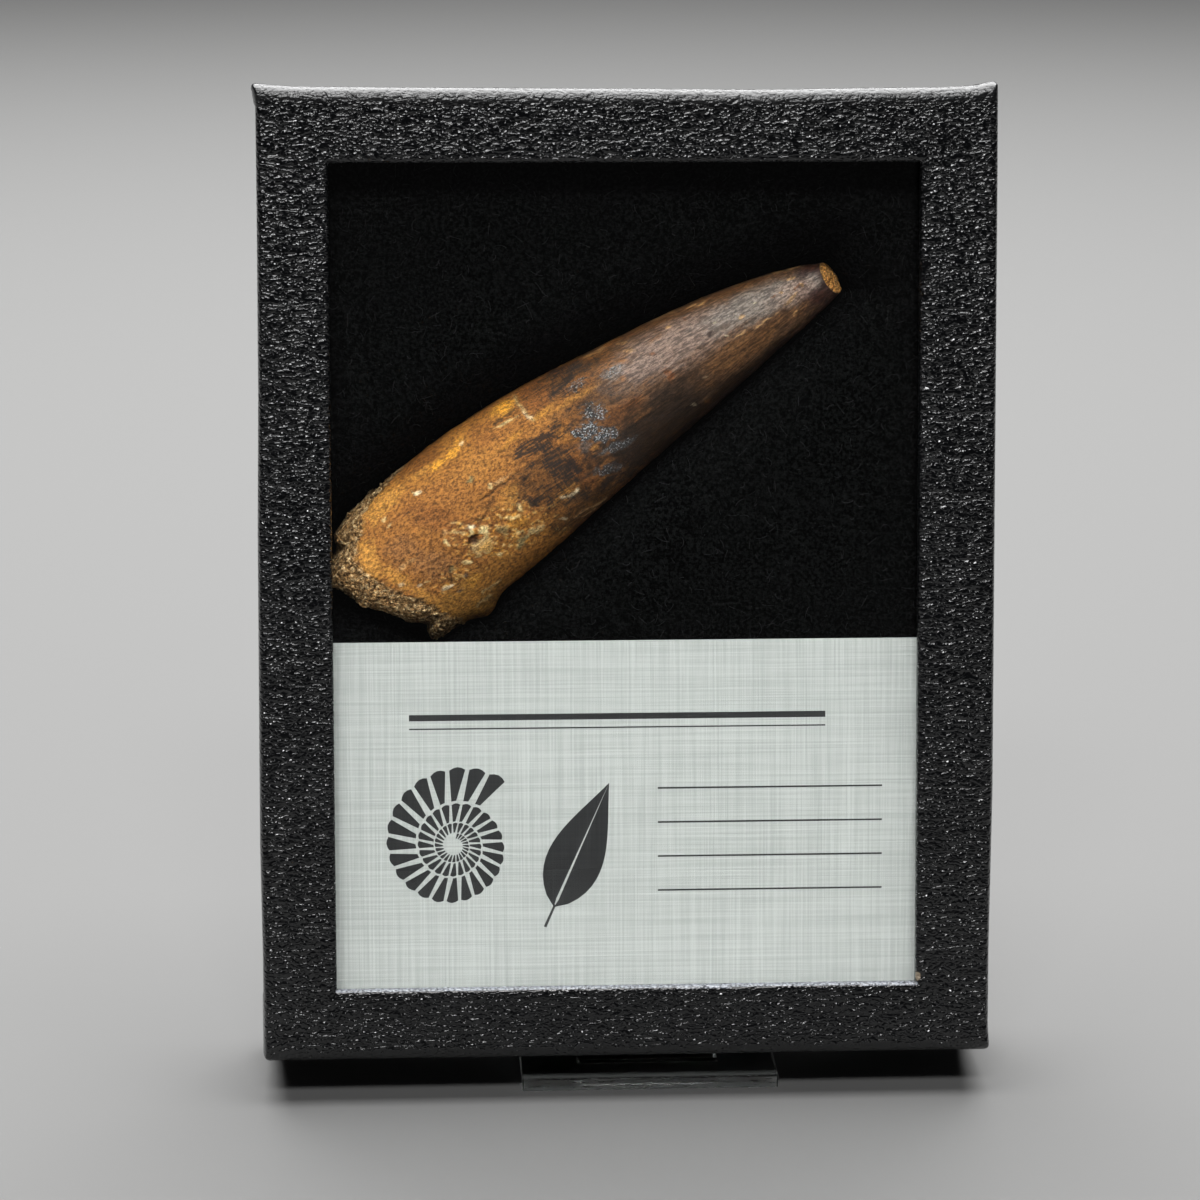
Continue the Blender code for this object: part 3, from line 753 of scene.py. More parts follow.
# Wide zones, painted in this order: colour, strength and spot, which is the place along and
# across, half the length, half the width and the turn in degrees
ZONES = (
    ("warm_brown", 1.0, 10.0, 2.0, 20.0, 12.0, 0),
    ("olive", 0.85, 5.0, -6.8, 6.5, 2.6, 4),
    ("orange", 0.75, 13.0, -5.8, 8.0, 2.4, 5),
    ("ochre", 0.5, 3.0, -6.2, 3.0, 2.0, 0),
    ("grey_brown", 0.4, 3.5, -1.2, 2.4, 1.6, -30),
    ("grey_brown", 0.35, 1.5, 2.2, 2.0, 1.5, 0),
    ("red_brown", 0.45, 7.0, 3.0, 3.2, 1.4, -50),
    ("red_brown", 0.3, 9.0, -0.4, 3.0, 1.6, -20),
    ("orange", 0.7, 11.0, 8.6, 9.0, 1.8, 2),
    ("red_brown", 0.55, 9.3, 9.3, 3.0, 0.9, 3),
    ("red_brown", 0.35, 16.5, 8.0, 1.6, 1.6, 0),
    ("ochre", 0.25, 17.0, 5.0, 5.5, 1.6, -4),
    ("ochre", 0.3, 23.6, 5.8, 2.4, 0.9, 4),
    ("brown", 0.5, 20.5, 4.2, 4.5, 2.2, 0),
    ("dark_brown", 0.45, 27.6, 3.4, 2.2, 2.4, 0),
    ("red_brown", 0.6, 23.8, 8.3, 2.2, 1.6, 0),
    ("dark_brown", 0.7, 21.0, -1.2, 4.6, 3.6, -14),
    ("dark_brown", 0.6, 18.6, 1.9, 2.4, 0.9, 10),
    ("orange", 0.55, 24.2, 1.0, 0.8, 4.0, 4),
    ("red_brown", 0.5, 24.0, -1.3, 1.4, 3.0, 0),
    ("dark_brown", 0.85, 23.0, -5.6, 5.4, 1.7, 3),
    ("crown", 1.0, 47.5, 2.0, 18.5, 12.0, 0),
    ("dark_brown", 0.6, 28.4, 8.6, 4.4, 1.3, -6),
    ("crown_orange", 0.9, 30.4, 4.4, 3.4, 2.0, 0),
    ("ochre", 0.15, 27.6, 5.7, 2.6, 0.4, -3),
    ("red_brown", 0.7, 31.0, 1.5, 2.7, 1.1, 0),
    ("dark_brown", 0.5, 31.0, 0.6, 3.0, 2.0, 0),
    # painted shade: the darkest zones on the crown's lower side are partly its colour and partly shade
    # painted in
    ("crown_dark", 0.95, 33.0, -2.6, 8.5, 3.2, 3),
    ("crown_dark", 0.75, 38.0, -0.8, 4.2, 2.2, 3),
    ("crown_orange", 0.8, 46.0, -0.2, 5.4, 1.6, 3),
    ("crown_orange", 0.5, 53.0, 0.3, 4.0, 0.9, 3),
    # painted shade: the dark band along the crown's lower rim is partly painted shade
    ("crown_dark", 0.85, 45.0, -3.0, 9.0, 1.3, 6),
    # painted highlight: the pinkish-grey and grey zones along the crown's upper side are partly its colour
    # and partly its sheen painted in
    ("pink_grey", 0.85, 40.5, 4.6, 8.0, 2.4, -4),
    ("grey", 0.9, 50.0, 3.4, 6.0, 1.7, -9),
    ("crown_orange", 0.7, 46.0, 6.9, 12.0, 0.8, -11),
    ("plum", 0.9, 57.6, 1.2, 2.1, 3.4, -10),
    # painted highlight: the grey at the tip and the pale pink beside it are partly painted sheen
    ("grey", 0.85, 57.4, 1.9, 0.9, 0.8, 0),
    ("pale_pink", 0.34, 54.6, 2.2, 2.8, 1.0, -9),
    ("dark_red", 0.7, 58.0, 3.3, 1.2, 0.45, -30),
    ("dark_red", 0.7, 57.0, 0.0, 1.1, 0.45, 0),
)

# Patches with ragged edges: colour, strength, spot, and how high each stands
PATCHES = (
    ("ochre", 0.9, 2.6, 7.6, 3.0, 1.0, 14, 0.0),
    ("ochre", 0.95, -2.1, 3.2, 1.15, 2.2, -14, 0.0),
    ("ochre", 0.9, -0.6, -0.2, 0.8, 2.0, 24, 0.0),
    ("ochre", 0.8, 0.8, -3.6, 0.7, 1.8, 22, 0.0),
    ("yellow", 0.9, 10.2, 8.0, 0.95, 0.36, 4, 0.05),
    ("yellow", 0.85, 12.5, 8.1, 1.1, 0.4, 6, 0.05),
    ("yellow", 0.4, 13.8, 8.8, 0.7, 0.3, 10, 0.0),
    ("ochre", 0.6, 8.2, 8.3, 1.3, 0.25, 4, 0.0),
    ("white", 0.55, 13.9, 8.5, 0.3, 0.14, 30, 0.04),
    ("yellow", 0.8, 20.0, 9.2, 1.6, 0.55, -2, 0.05),
    ("yellow", 0.3, 23.4, 6.3, 1.3, 0.3, 12, 0.0),
    ("yellow", 0.25, 18.6, 5.7, 1.4, 0.3, 8, 0.0),
    ("black", 0.75, 18.7, 8.2, 0.8, 0.22, -4, -0.05),
    ("black", 0.65, 20.6, 8.4, 0.9, 0.16, 4, -0.04),
    ("cream", 0.6, 19.2, 7.7, 1.1, 0.14, -4, 0.0),
    ("white", 0.85, 6.72, 6.55, 0.3, 0.17, -10, 0.08),
    ("cream", 0.7, 6.25, 7.0, 0.1, 0.3, 10, 0.05),
    ("red_brown", 0.6, 6.5, 6.95, 0.16, 0.14, 0, -0.08),
    ("cream", 0.6, 1.9, 6.1, 0.5, 0.16, 6, 0.0),
    ("cream", 0.5, 2.1, 5.2, 0.3, 0.14, 0, 0.0),
    ("grey_green", 0.9, 12.4, 4.4, 0.5, 0.24, 18, 0.08),
    ("black", 0.5, 12.7, 4.0, 0.4, 0.14, -10, -0.08),
    ("cream", 0.8, 14.0, 2.7, 0.34, 0.28, 30, 0.08),
    ("tan", 0.7, 15.2, 2.62, 1.1, 0.2, 0, 0.08),
    ("tan", 0.7, 0.6, 0.5, 0.5, 0.24, 0, 0.0),
    ("tan", 0.7, 1.9, 0.62, 0.45, 0.14, 0, 0.0),
    ("cream", 0.8, 6.3, 0.1, 0.16, 0.5, 16, 0.06),
    ("yellow", 0.7, 8.65, 1.15, 0.25, 0.2, 0, 0.08),
    ("tan", 0.6, 6.8, 1.2, 0.3, 0.2, 40, 0.05),
    ("white", 0.95, 9.5, 0.1, 0.5, 0.26, -18, 0.14),
    ("cream", 0.8, 9.2, -0.5, 0.42, 0.22, 20, 0.1),
    ("cream", 0.95, 10.6, -1.0, 0.62, 0.55, -30, 0.15),
    ("cream", 0.5, 9.6, -2.5, 1.3, 0.8, -10, 0.12),
    ("yellow", 0.45, 9.7, -2.6, 1.0, 0.5, -10, 0.0),
    ("dark_red", 0.9, 9.0, -1.35, 0.52, 0.42, 10, -0.42),
    ("cream", 0.75, 7.0, -3.0, 0.5, 0.24, -38, 0.1),
    ("grey_green", 0.7, 5.1, -2.7, 0.5, 0.2, 50, 0.05),
    ("white", 0.75, 3.7, -4.25, 0.75, 0.2, -4, 0.08),
    ("white", 0.6, 1.1, -2.25, 0.3, 0.16, 10, 0.04),
    ("cream", 0.5, 2.0, -2.35, 0.3, 0.12, -10, 0.03),
    ("white", 0.5, -0.6, -1.0, 0.4, 0.25, -20, 0.04),
    ("slate", 0.7, 6.0, -4.0, 0.24, 0.2, 0, 0.05),
    ("yellow", 0.45, 6.6, -5.2, 1.1, 0.45, 0, 0.05),
    ("slate", 0.5, 4.5, -5.2, 0.4, 0.14, 0, 0.0),
    ("cream", 0.75, 10.6, -4.3, 0.36, 0.24, 40, 0.06),
    ("grey_green", 0.65, 12.4, -2.0, 0.6, 0.6, 0, 0.08),
    ("yellow", 0.35, 14.4, -2.2, 1.6, 0.8, -16, 0.08),
    ("cream", 0.5, 14.2, -1.6, 1.0, 0.22, -20, 0.06),
    ("cream", 0.45, 15.3, -1.0, 0.3, 0.6, 10, 0.05),
    ("grey_green", 0.8, 13.6, -4.4, 0.9, 0.42, 24, 0.1),
    ("cream", 0.65, 15.3, -4.2, 1.0, 0.36, -12, 0.1),
    ("white", 0.6, 18.8, -4.9, 0.36, 0.18, -30, 0.06),
    ("ochre", 0.45, 15.0, 0.6, 1.6, 1.0, 24, 0.0),
    ("ochre", 0.5, 20.5, -2.6, 1.4, 0.6, 0, 0.0),
    ("slate", 0.55, 26.4, 1.9, 1.5, 0.9, -20, 0.03),
    ("slate", 0.55, 28.0, 0.4, 1.4, 0.8, -20, 0.03),
    ("slate", 0.6, 25.3, 0.6, 0.7, 0.5, 0, 0.02),
    ("slate", 0.3, 28.2, -1.4, 2.2, 0.5, -8, 0.02),
    ("slate", 0.3, 25.8, -3.0, 1.6, 0.6, -20, 0.02),
    ("slate", 0.4, 28.2, 3.2, 1.2, 1.3, 80, 0.0),
    ("slate", 0.3, 28.5, 6.8, 1.3, 0.6, 0, 0.0),
    ("slate", 0.25, 32.4, 5.9, 1.3, 0.7, 0, 0.0),
    ("ochre", 0.45, 27.2, 5.7, 2.6, 0.3, -3, 0.0),
    ("ochre", 0.5, 26.2, -0.1, 0.5, 0.3, 0, 0.0),
    # painted highlight: these grey and pinkish-grey patches, where the crown's sheen band starts, are
    # partly painted sheen
    ("grey", 0.55, 32.6, 5.6, 1.2, 0.9, 0, 0.0),
    ("pink_grey", 0.5, 35.2, 5.0, 2.2, 1.0, -4, 0.0),
    ("tan", 0.5, 35.5, 6.8, 0.7, 0.3, -10, 0.03),
    ("tan", 0.6, 35.2, 8.0, 0.6, 0.14, -20, 0.02),
    ("tan", 0.55, 32.0, 8.8, 1.4, 0.2, -6, 0.0),
    ("red_brown", 0.8, 37.8, 2.1, 0.42, 0.75, 4, -0.03),
    ("red_brown", 0.8, 37.5, 5.0, 0.5, 0.2, -28, -0.05),
    ("black", 0.5, 37.0, 5.3, 0.16, 0.3, 20, -0.06),
    ("tan", 0.9, 40.45, 6.62, 0.34, 0.2, 8, 0.08),
    ("red_brown", 0.6, 42.7, 6.4, 0.24, 0.2, -40, -0.06),
    ("tan", 0.7, 45.3, 6.65, 0.6, 0.13, -4, 0.04),
    ("tan", 0.45, 44.0, 7.0, 0.6, 0.14, -4, 0.04),
    ("dark_red", 0.8, 44.1, 3.3, 0.36, 0.24, 14, -0.06),
    ("white", 0.75, 45.2, 4.05, 0.24, 0.1, 10, 0.03),
    ("white", 0.65, 45.5, 2.15, 0.3, 0.09, -50, 0.03),
    ("tan", 0.7, 48.3, 2.9, 0.36, 0.22, 0, 0.04),
    ("white", 0.5, 50.2, 3.42, 0.36, 0.08, 0, 0.02),
    ("tan", 0.55, 50.2, 1.1, 1.5, 0.13, 2, 0.02),
    ("tan", 0.5, 47.0, 1.5, 0.9, 0.12, 6, 0.0),
    ("red_brown", 0.7, 52.4, 2.95, 0.4, 0.12, -8, -0.04),
    ("tan", 0.75, 53.3, 2.85, 0.4, 0.14, 0, 0.04),
    ("red_brown", 0.75, 55.3, 2.4, 0.6, 0.16, 4, -0.04),
    ("tan", 0.85, 56.1, 2.15, 0.3, 0.3, 10, 0.05),
    ("tan", 0.7, 55.3, 3.5, 0.5, 0.13, -10, 0.03),
    ("tan", 0.6, 54.0, 1.6, 0.9, 0.2, 10, 0.0),
    ("white", 0.25, 41.0, -0.35, 0.34, 0.12, 10, 0.03),
    ("white", 0.15, 38.3, -2.4, 0.34, 0.14, -20, 0.03),
    ("tan", 0.5, 53.5, -0.1, 0.5, 0.13, 20, 0.0),
)

# How much wider than their half widths below the lines are drawn
LINE_WIDENING = 1.6
# Cracks and scratches: colour, strength, half width, depth, and the points that each runs through
LINES = (
    ("black", 0.85, 0.07, 0.14, ((12.0, 1.9), (13.4, 2.0), (14.2, 2.12), (15.6, 2.15), (17.6, 2.35))),
    ("black", 0.8, 0.07, 0.12, ((13.6, 1.6), (12.6, 0.95), (11.8, 0.5), (11.2, 0.0), (10.5, -0.3))),
    ("black", 0.8, 0.08, 0.14, ((4.3, -4.0), (4.6, -3.3), (4.7, -2.7), (5.1, -2.3))),
    ("black", 0.6, 0.06, 0.10, ((7.4, -3.6), (7.6, -2.6), (8.2, -1.9))),
    ("dark_red", 0.5, 0.06, 0.06, ((2.0, 5.3), (3.5, 5.5), (5.5, 5.2))),
    ("black", 0.6, 0.05, 0.05, ((18.2, 3.0), (19.6, 3.35), (22.0, 3.4), (24.0, 3.4))),
    ("white", 0.8, 0.09, -0.06, ((20.0, -2.75), (20.5, -3.05), (21.0, -3.2), (21.7, -3.2), (22.0, -2.95))),
    ("cream", 0.5, 0.09, -0.02, ((21.9, 9.6), (21.7, 8.6), (21.8, 7.6), (22.0, 6.6), (22.1, 6.2))),
    ("white", 0.5, 0.1, -0.02, ((21.7, 7.3), (21.8, 6.8), (22.2, 6.5))),
    ("tan", 0.7, 0.07, -0.03, ((20.0, -5.6), (21.6, -5.55), (23.0, -5.8), (24.2, -5.7))),
    ("tan", 0.6, 0.06, -0.03, ((20.6, -6.0), (22.2, -6.1), (23.4, -6.0))),
    ("cream", 0.5, 0.08, -0.03, ((6.6, -6.9), (7.9, -6.95), (9.2, -6.9))),
    ("cream", 0.45, 0.07, -0.02, ((5.2, -7.9), (6.2, -7.7), (7.2, -7.65))),
    ("cream", 0.5, 0.08, -0.03, ((8.0, 1.6), (8.6, 1.3), (8.9, 0.9))),
    ("cream", 0.5, 0.08, -0.03, ((7.6, 0.9), (8.0, 0.3), (8.3, 0.0))),
    ("black", 0.4, 0.06, 0.05, ((40.4, 5.0), (41.6, 5.2), (42.6, 5.1))),
    ("black", 0.4, 0.06, 0.05, ((40.1, 3.4), (40.3, 4.2), (40.8, 4.8))),
    ("grey", 0.5, 0.07, 0.02, ((50.6, 2.9), (51.6, 2.3), (53.0, 2.2), (54.2, 2.4))),
    ("crown_dark", 0.5, 0.09, 0.03, ((41.5, -0.2), (44.5, -0.1), (48.0, -0.3), (52.0, 0.1))),
    ("tan", 0.8, 0.1, -0.02, ((54.2, 5.15), (55.0, 4.85), (56.0, 4.5), (57.0, 4.1))),
    ("tan", 0.6, 0.1, -0.02, ((39.4, 8.25), (40.6, 8.1), (42.0, 7.85))),
)

# Where the black mineral specks are: strength and spot
SPECKS = (
    (0.9, 18.2, 1.8, 2.6, 0.9, 10),
    (1.0, 21.4, 3.8, 3.0, 1.3, 0),
    (0.75, 19.6, 3.2, 2.6, 0.6, 6),
    (1.0, 21.8, 0.2, 2.6, 2.2, -20),
    (0.8, 19.6, -1.6, 3.2, 2.6, 0),
    (1.0, 17.2, -1.3, 1.2, 0.9, -30),
    (0.65, 20.8, -4.4, 5.0, 1.6, 4),
    (0.9, 28.0, 8.4, 4.6, 1.5, -6),
    (0.8, 28.0, 6.8, 2.8, 1.0, 0),
    (0.75, 27.8, 4.3, 1.9, 1.5, 0),
    (0.7, 31.0, 4.4, 1.3, 0.7, 0),
    (0.8, 31.1, 3.0, 1.0, 0.35, -8),
    (0.6, 24.6, -1.8, 2.2, 1.8, 0),
    (0.6, 27.4, -3.4, 5.0, 1.8, 0),
    (0.55, 33.0, -1.6, 4.0, 2.0, 0),
    (0.45, 35.0, 2.2, 3.6, 1.8, 0),
    (0.3, 41.0, 5.2, 4.0, 1.2, 0),
    (0.3, 12.0, 5.0, 6.0, 2.0, 0),
    (0.35, 8.0, -5.6, 5.0, 1.5, 0),
)

# Where pale and yellow flecks are scattered on the root: strength and spot
FLECKS = (
    (1.0, 12.6, -2.4, 4.6, 2.4, -12),
    (0.5, 8.6, -0.6, 2.4, 1.7, 0),
    (0.6, 5.0, -3.8, 3.6, 1.4, 0),
)


def patch(s, t, spot, ragged, soft):
    """1 inside a turned ellipse, 0 outside, with a ragged soft edge between."""
    a, b, length, width, turn = spot
    ds = s - a
    dt = t - b
    c = math.cos(math.radians(turn))
    n = math.sin(math.radians(turn))
    reach = np.hypot((ds * c + dt * n) / length, (dt * c - ds * n) / width) + ragged
    return 1 - ease((reach - 1 + soft) / (2 * soft))


def line(s, t, points, width):
    """1 on a line through points, falling off beside it."""
    best = np.full(len(s), 1e9)
    for (s0, t0), (s1, t1) in zip(points, points[1:]):
        ds, dt = s1 - s0, t1 - t0
        k = np.clip(((s - s0) * ds + (t - t0) * dt) / (ds * ds + dt * dt), 0, 1)
        best = np.minimum(best, np.hypot(s - s0 - k * ds, t - t0 - k * dt))
    return np.exp(-((best / width) ** 2))


# From the photograph's brightness to the surface's own
ALBEDO = 1.3
# Where along the tooth the root starts to give way to the crown, and over what length
CROWN_FROM = 28
CROWN_FADE = 5
# A zone with more than this for half its length goes all round the tooth
ROUND_THE_TOOTH = 12


def layer(colour, name, amount):
    """Paints over colour with one of the palette's, by an amount for each point."""
    amount = amount[:, None]
    return colour * (1 - amount) + linear(PALETTE[name]) * ALBEDO * amount


def tooth_zones(s, t, front, crown, wide, fine):
    """The wide zones of colour and, away from the view, dark streaks of the same colours."""
    colour = np.tile(linear(PALETTE["brown"]) * ALBEDO, (len(s), 1))
    for name, strength, *spot in ZONES:
        inside = patch(s, t, spot, 0.35 * wide + 0.2 * fine, 0.4)
        seen = 1.0 if spot[2] > ROUND_THE_TOOTH else front
        colour = layer(colour, name, strength * inside * seen)
    dark = ease(0.5 + wide) * (1 - front)
    colour = layer(colour, "red_brown", 0.5 * dark * (1 - crown))
    return layer(colour, "crown_dark", 0.6 * dark * crown)


def tooth_looks(points):
    """Colour, relief and the numbers that drive the material, for every point of the tooth."""
    s, t = seen_place(points)
    front = ease(points[:, 2] / 1.5 + 0.6)
    crown = ease((s - CROWN_FROM) / CROWN_FADE)
    wide = noise.fractal(points * (0.35, 0.6, 0.6), 3)
    fine = other_noise.fractal(points * (1.3, 1.9, 1.9), 3)
    grain = noise.fractal(points * 3.1, 2)
    colour = tooth_zones(s, t, front, crown, wide, fine)
    relief = np.zeros(len(s))
    salt = np.zeros(len(s))
    specks = np.zeros(len(s))
    scatter = other_noise.fractal(points * 2.1 + 31, 2)
    for strength, *spot in FLECKS:
        inside = patch(s, t, spot, 0.5 * wide + 0.3 * fine, 0.5) * strength * front
        colour = layer(colour, "red_brown", 0.55 * inside * ease(-scatter * 3 - 0.3))
        colour = layer(colour, "yellow", 0.65 * inside * ease(scatter * 3 - 0.15))
        colour = layer(colour, "cream", 0.7 * inside * ease(scatter * 3 - 0.85))
        relief += 0.06 * inside * scatter
    bend_s = s + 0.25 * other_noise(points * 1.1)
    bend_t = t + 0.18 * noise(points * 1.3 + 9)
    for name, strength, *spot, high in PATCHES:
        inside = patch(bend_s, bend_t, spot, 0.55 * fine + 0.35 * grain, 0.3) * front
        colour = layer(colour, name, strength * inside)
        relief += high * inside
        if name == "slate" and spot[2] > 1:
            salt = np.maximum(salt, strength * inside)
    for name, strength, width, deep, through in LINES:
        inside = line(bend_s, bend_t, through, LINE_WIDENING * width * (1 + 0.5 * fine)) * front
        colour = layer(colour, name, np.clip(strength * inside, 0, 1))
        relief -= deep * inside
    shade = (1 + (0.20 * fine + 0.16 * grain) * (1 - 0.55 * crown)) * (1 - 0.16 * crown)
    # the upper side is darker where the root meets the crown
    shade *= 1 - 0.26 * np.exp(-(((s - 29) / 6) ** 2)) * ease((t + 0.5) / 2)
    colour = colour * np.clip(shade, 0.4, 1.7)[:, None]
    for strength, *spot in SPECKS:
        inside = patch(s, t, spot, 0.5 * wide + 0.3 * fine, 0.5)
        specks = np.maximum(specks, strength * inside * front)
    return colour, relief, specks, salt, crown, (wide, fine, grain)


def seen_place(points):
    """Where the photograph sees each point against the tooth's own axes."""
    s, across, out = points.T
    return s - SEEN_FROM_TIP * out * (1 - s / LEVEL_AT), across - SEEN_FROM_ABOVE * out


def rock_share(points):
    """How much of the surface is bare rock: from the break to an edge of its own."""
    s, t = seen_place(points)
    edge = np.interp(t, CRUST_ACROSS, CRUST_AT)
    edge += 0.45 * noise(points * 1.1) + 0.3 * other_noise(points * 2.9)
    behind = ease(-points[:, 2] / 2)
    edge -= behind * np.maximum(edge + 1, 0) * 0.8
    return 1 - ease((s - edge) / 0.6 + 0.5)


def paint_rock(colour, crumb, tip_rock, mottle):
    """The bare rock: grey sand with lighter and darker grains, and a warmer face at the tip."""
    colour = layer(colour, "sandstone", crumb * 0.9)
    colour = layer(colour, "sand_dark", crumb * ease(mottle * 2.0 - 0.05))
    colour = layer(colour, "sand_light", crumb * ease(-mottle * 1.8 - 0.2))
    colour = layer(colour, "tip", tip_rock)
    colour = layer(colour, "tan", tip_rock * ease(mottle * 1.5))
    return layer(colour, "red_brown", tip_rock * 0.7 * ease(-mottle * 1.8 - 0.3))


def make_tooth():
    """The tooth, with its relief in the mesh and its colours at the mesh's points."""
    points, normals, base_rings, rings = tooth_grid()
    s, across, out = points.T
    index = np.arange(len(points)) // TOOTH_SIDES
    on_base = index < base_rings
    on_tip = index >= base_rings + TOOTH_RINGS
    crumb = np.where(on_base, 1.0, rock_share(points))
    tip_rock = np.where(on_tip, 1.0, 0.0)
    colour, relief, specks, salt, crown, (wide, fine, grain) = tooth_looks(points)
    mottle = other_noise.fractal(points * 2.6, 3)
    colour = paint_rock(colour, crumb, tip_rock, mottle)

    # relief: crumbs at the breaks, wrinkles on the root, flutes on the crown
    rock = np.maximum(crumb, tip_rock)
    lumps = noise.fractal(points * 0.75, 2)
    crumbs = noise.fractal(points * 1.7, 2)
    relief += 0.20 * rock * lumps * np.where(on_tip, 0.6, 1.0) - 0.17 * rock * mottle
    relief += 0.22 * crumb * crumbs
    root = (1 - crown) * (1 - rock)
    relief += root * (0.05 * fine + 0.035 * grain + 0.06 * wide)
    flute = noise(np.stack((s * 0.05, across * 1.5, out * 1.5), axis=1))
    relief += crown * (1 - rock) * (0.03 * flute + 0.012 * fine + 0.05 * wide)
    relief -= 0.05 * specks * ease(fine)
    points = points + normals * relief[:, None]

    # each end closes on a point at the middle of its last ring
    first = tooth_to_box(np.array([points[:TOOTH_SIDES].mean(axis=0)]))
    last = tooth_to_box(np.array([points[-TOOTH_SIDES:].mean(axis=0)]))
    faces = [list(face) for face in ring_faces(rings, TOOTH_SIDES)]
    count = len(points)
    ends = rings * TOOTH_SIDES - TOOTH_SIDES
    for j in range(TOOTH_SIDES):
        k = (j + 1) % TOOTH_SIDES
        faces.append([count, k, j])
        faces.append([count + 1, ends + j, ends + k])
    placed = np.concatenate((tooth_to_box(points), first, last))

    def with_ends(values):
        return np.concatenate((values, values[:1], values[-1:]))

    made = piece("tooth_fossil", placed, faces, [tooth_material()], with_ends(points))
    made.data.flip_normals()
    add_colour(made, "tint", with_ends(np.clip(colour, 0.001, 0.95)))
    numbers = {"specks": specks, "salt": salt, "crown": crown * (1 - rock), "rock": rock}
    for name, values in numbers.items():
        add_number(made, name, with_ends(values))
    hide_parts("tooth")
    return made


def tooth_material():
    """Tints from the mesh, broken up at the scale of the pores, the flutes and the grains of sand."""
    g = Graph("tooth")
    tint = g.colour("tint")
    rock = g.value("rock")
    crown = g.value("crown")
    specks = g.value("specks")
    mottle = g.noise(g.place((2.3, 3.5, 3.5)), 1.0, 6.0, 0.9)
    tiny = g.noise(g.place(), 7.0, 3.0, 0.7)
    streaks = g.noise(g.place((0.6, 4.6, 4.6)), 1.0, 3.0, 0.6)
    hatch = g.noise(g.place((4.6, 0.8, 0.8)), 1.0, 2.0, 0.5)
    # colour that varies from pore to pore on the root, and in streaks along the crown
    lighter = g.mix(1.0, tint, (1.5, 1.47, 1.46), "MULTIPLY")
    darker = g.mix(1.0, tint, (0.36, 0.33, 0.30), "MULTIPLY")
    base = g.mix(g.span(mottle, 0.43, 0.57), darker, lighter)
    base = g.mix(crown * 0.4, base, tint)
    base = g.mix(g.span(tiny, 0.54, 0.66, 0.0, 0.4), base, (0.05, 0.03, 0.018))
    bands = g.mix(g.span(streaks, 0.41, 0.59), (0.44, 0.41, 0.38), (1.56, 1.57, 1.58))
    base = g.mix(crown * 0.75, base, g.mix(1.0, base, bands, "MULTIPLY"))
    # grey mineral patches of dark and white grains
    salted = g.span(g.value("salt"), 0.1, 0.5)
    white_grain = g.span(g.noise(g.place(), 4.5, 3.0, 0.7), 0.54, 0.60)
    dark_grain = g.span(g.noise(g.place((1, 1, 1.1)), 2.6, 4.0, 0.75), 0.47, 0.53)
    base = g.mix(salted * dark_grain, base, (0.028, 0.031, 0.036))
    base = g.mix(salted * white_grain, base, (0.50, 0.53, 0.56))
    # black specks, where crossed streaks and pores are high
    grid = streaks * 0.68 + hatch * 0.32
    level = grid * 0.5 + mottle * 0.5
    spotted = g.span(level - (0.64 - specks * 0.165), 0.0, 0.02) * g.span(specks, 0.02, 0.2)
    base = g.mix(spotted * 0.9, base, (0.013, 0.013, 0.014))
    # grains of sand, each of its own brightness
    grains = g.node("TexVoronoi", {"Vector": g.place(), "Scale": 6.5}).outputs["Color"]
    grain_light = g.node("SeparateColor", {0: grains}).outputs[0]
    sandy = g.mix(1.0, base, g.mix(grain_light, (0.45, 0.43, 0.4), (1.5, 1.45, 1.35)), "MULTIPLY")
    base = g.mix(rock * 0.85, base, sandy)
    rough = 0.66 - crown * 0.26 + rock * 0.35
    rough = g.math("ADD", rough, g.span(mottle, 0.3, 0.7, -0.08, 0.08), clamp=True)
    first = g.bump(mottle * (1.0 - crown * 0.7), 0.17, 0.9)
    second = g.bump(g.cells(g.place(), 4.2) * rock, 0.25, 0.9, first)
    third = g.bump(streaks * crown, 0.06, 0.8, second)
    g.set(Base_Color=base, Roughness=rough, Normal=third, Specular_IOR_Level=0.3)
    return g.material


# The felt pad: its front and back, half its width, its lower and upper ends, and its worn edge
PAD_FRONT = -4.45
PAD_BACK = -18.1
PAD_HALF = 37.6
PAD_LOW = 3.8
PAD_HIGH = 105.6
PAD_EDGE = 1.3
PAD_EDGE_REACH = 7.0
PAD_COLUMNS = 270
# Rows are sparse behind the card, up to this height, and dense above it
PAD_ROWS = (24, 216)
PAD_DENSE_FROM = 44.0
# The hollow: how far it stands off the tooth, how steeply its wall rises and how soft its lip is
HOLLOW_ASIDE = 0.35
HOLLOW_BELOW = 0.6
HOLLOW_BASE = 0.9
HOLLOW_WALL = 6.0
HOLLOW_SPREAD = 3.2
HOLLOW_SLOPE = 0.25
LIP_SOFT = 0.8
# The pad's sides as (drawn in, w), from the front to the back
PAD_SIDES = ((-0.25, -6.5), (-0.1, -10.0), (-0.2, -14.0), (0.3, -17.2), (1.4, PAD_BACK))


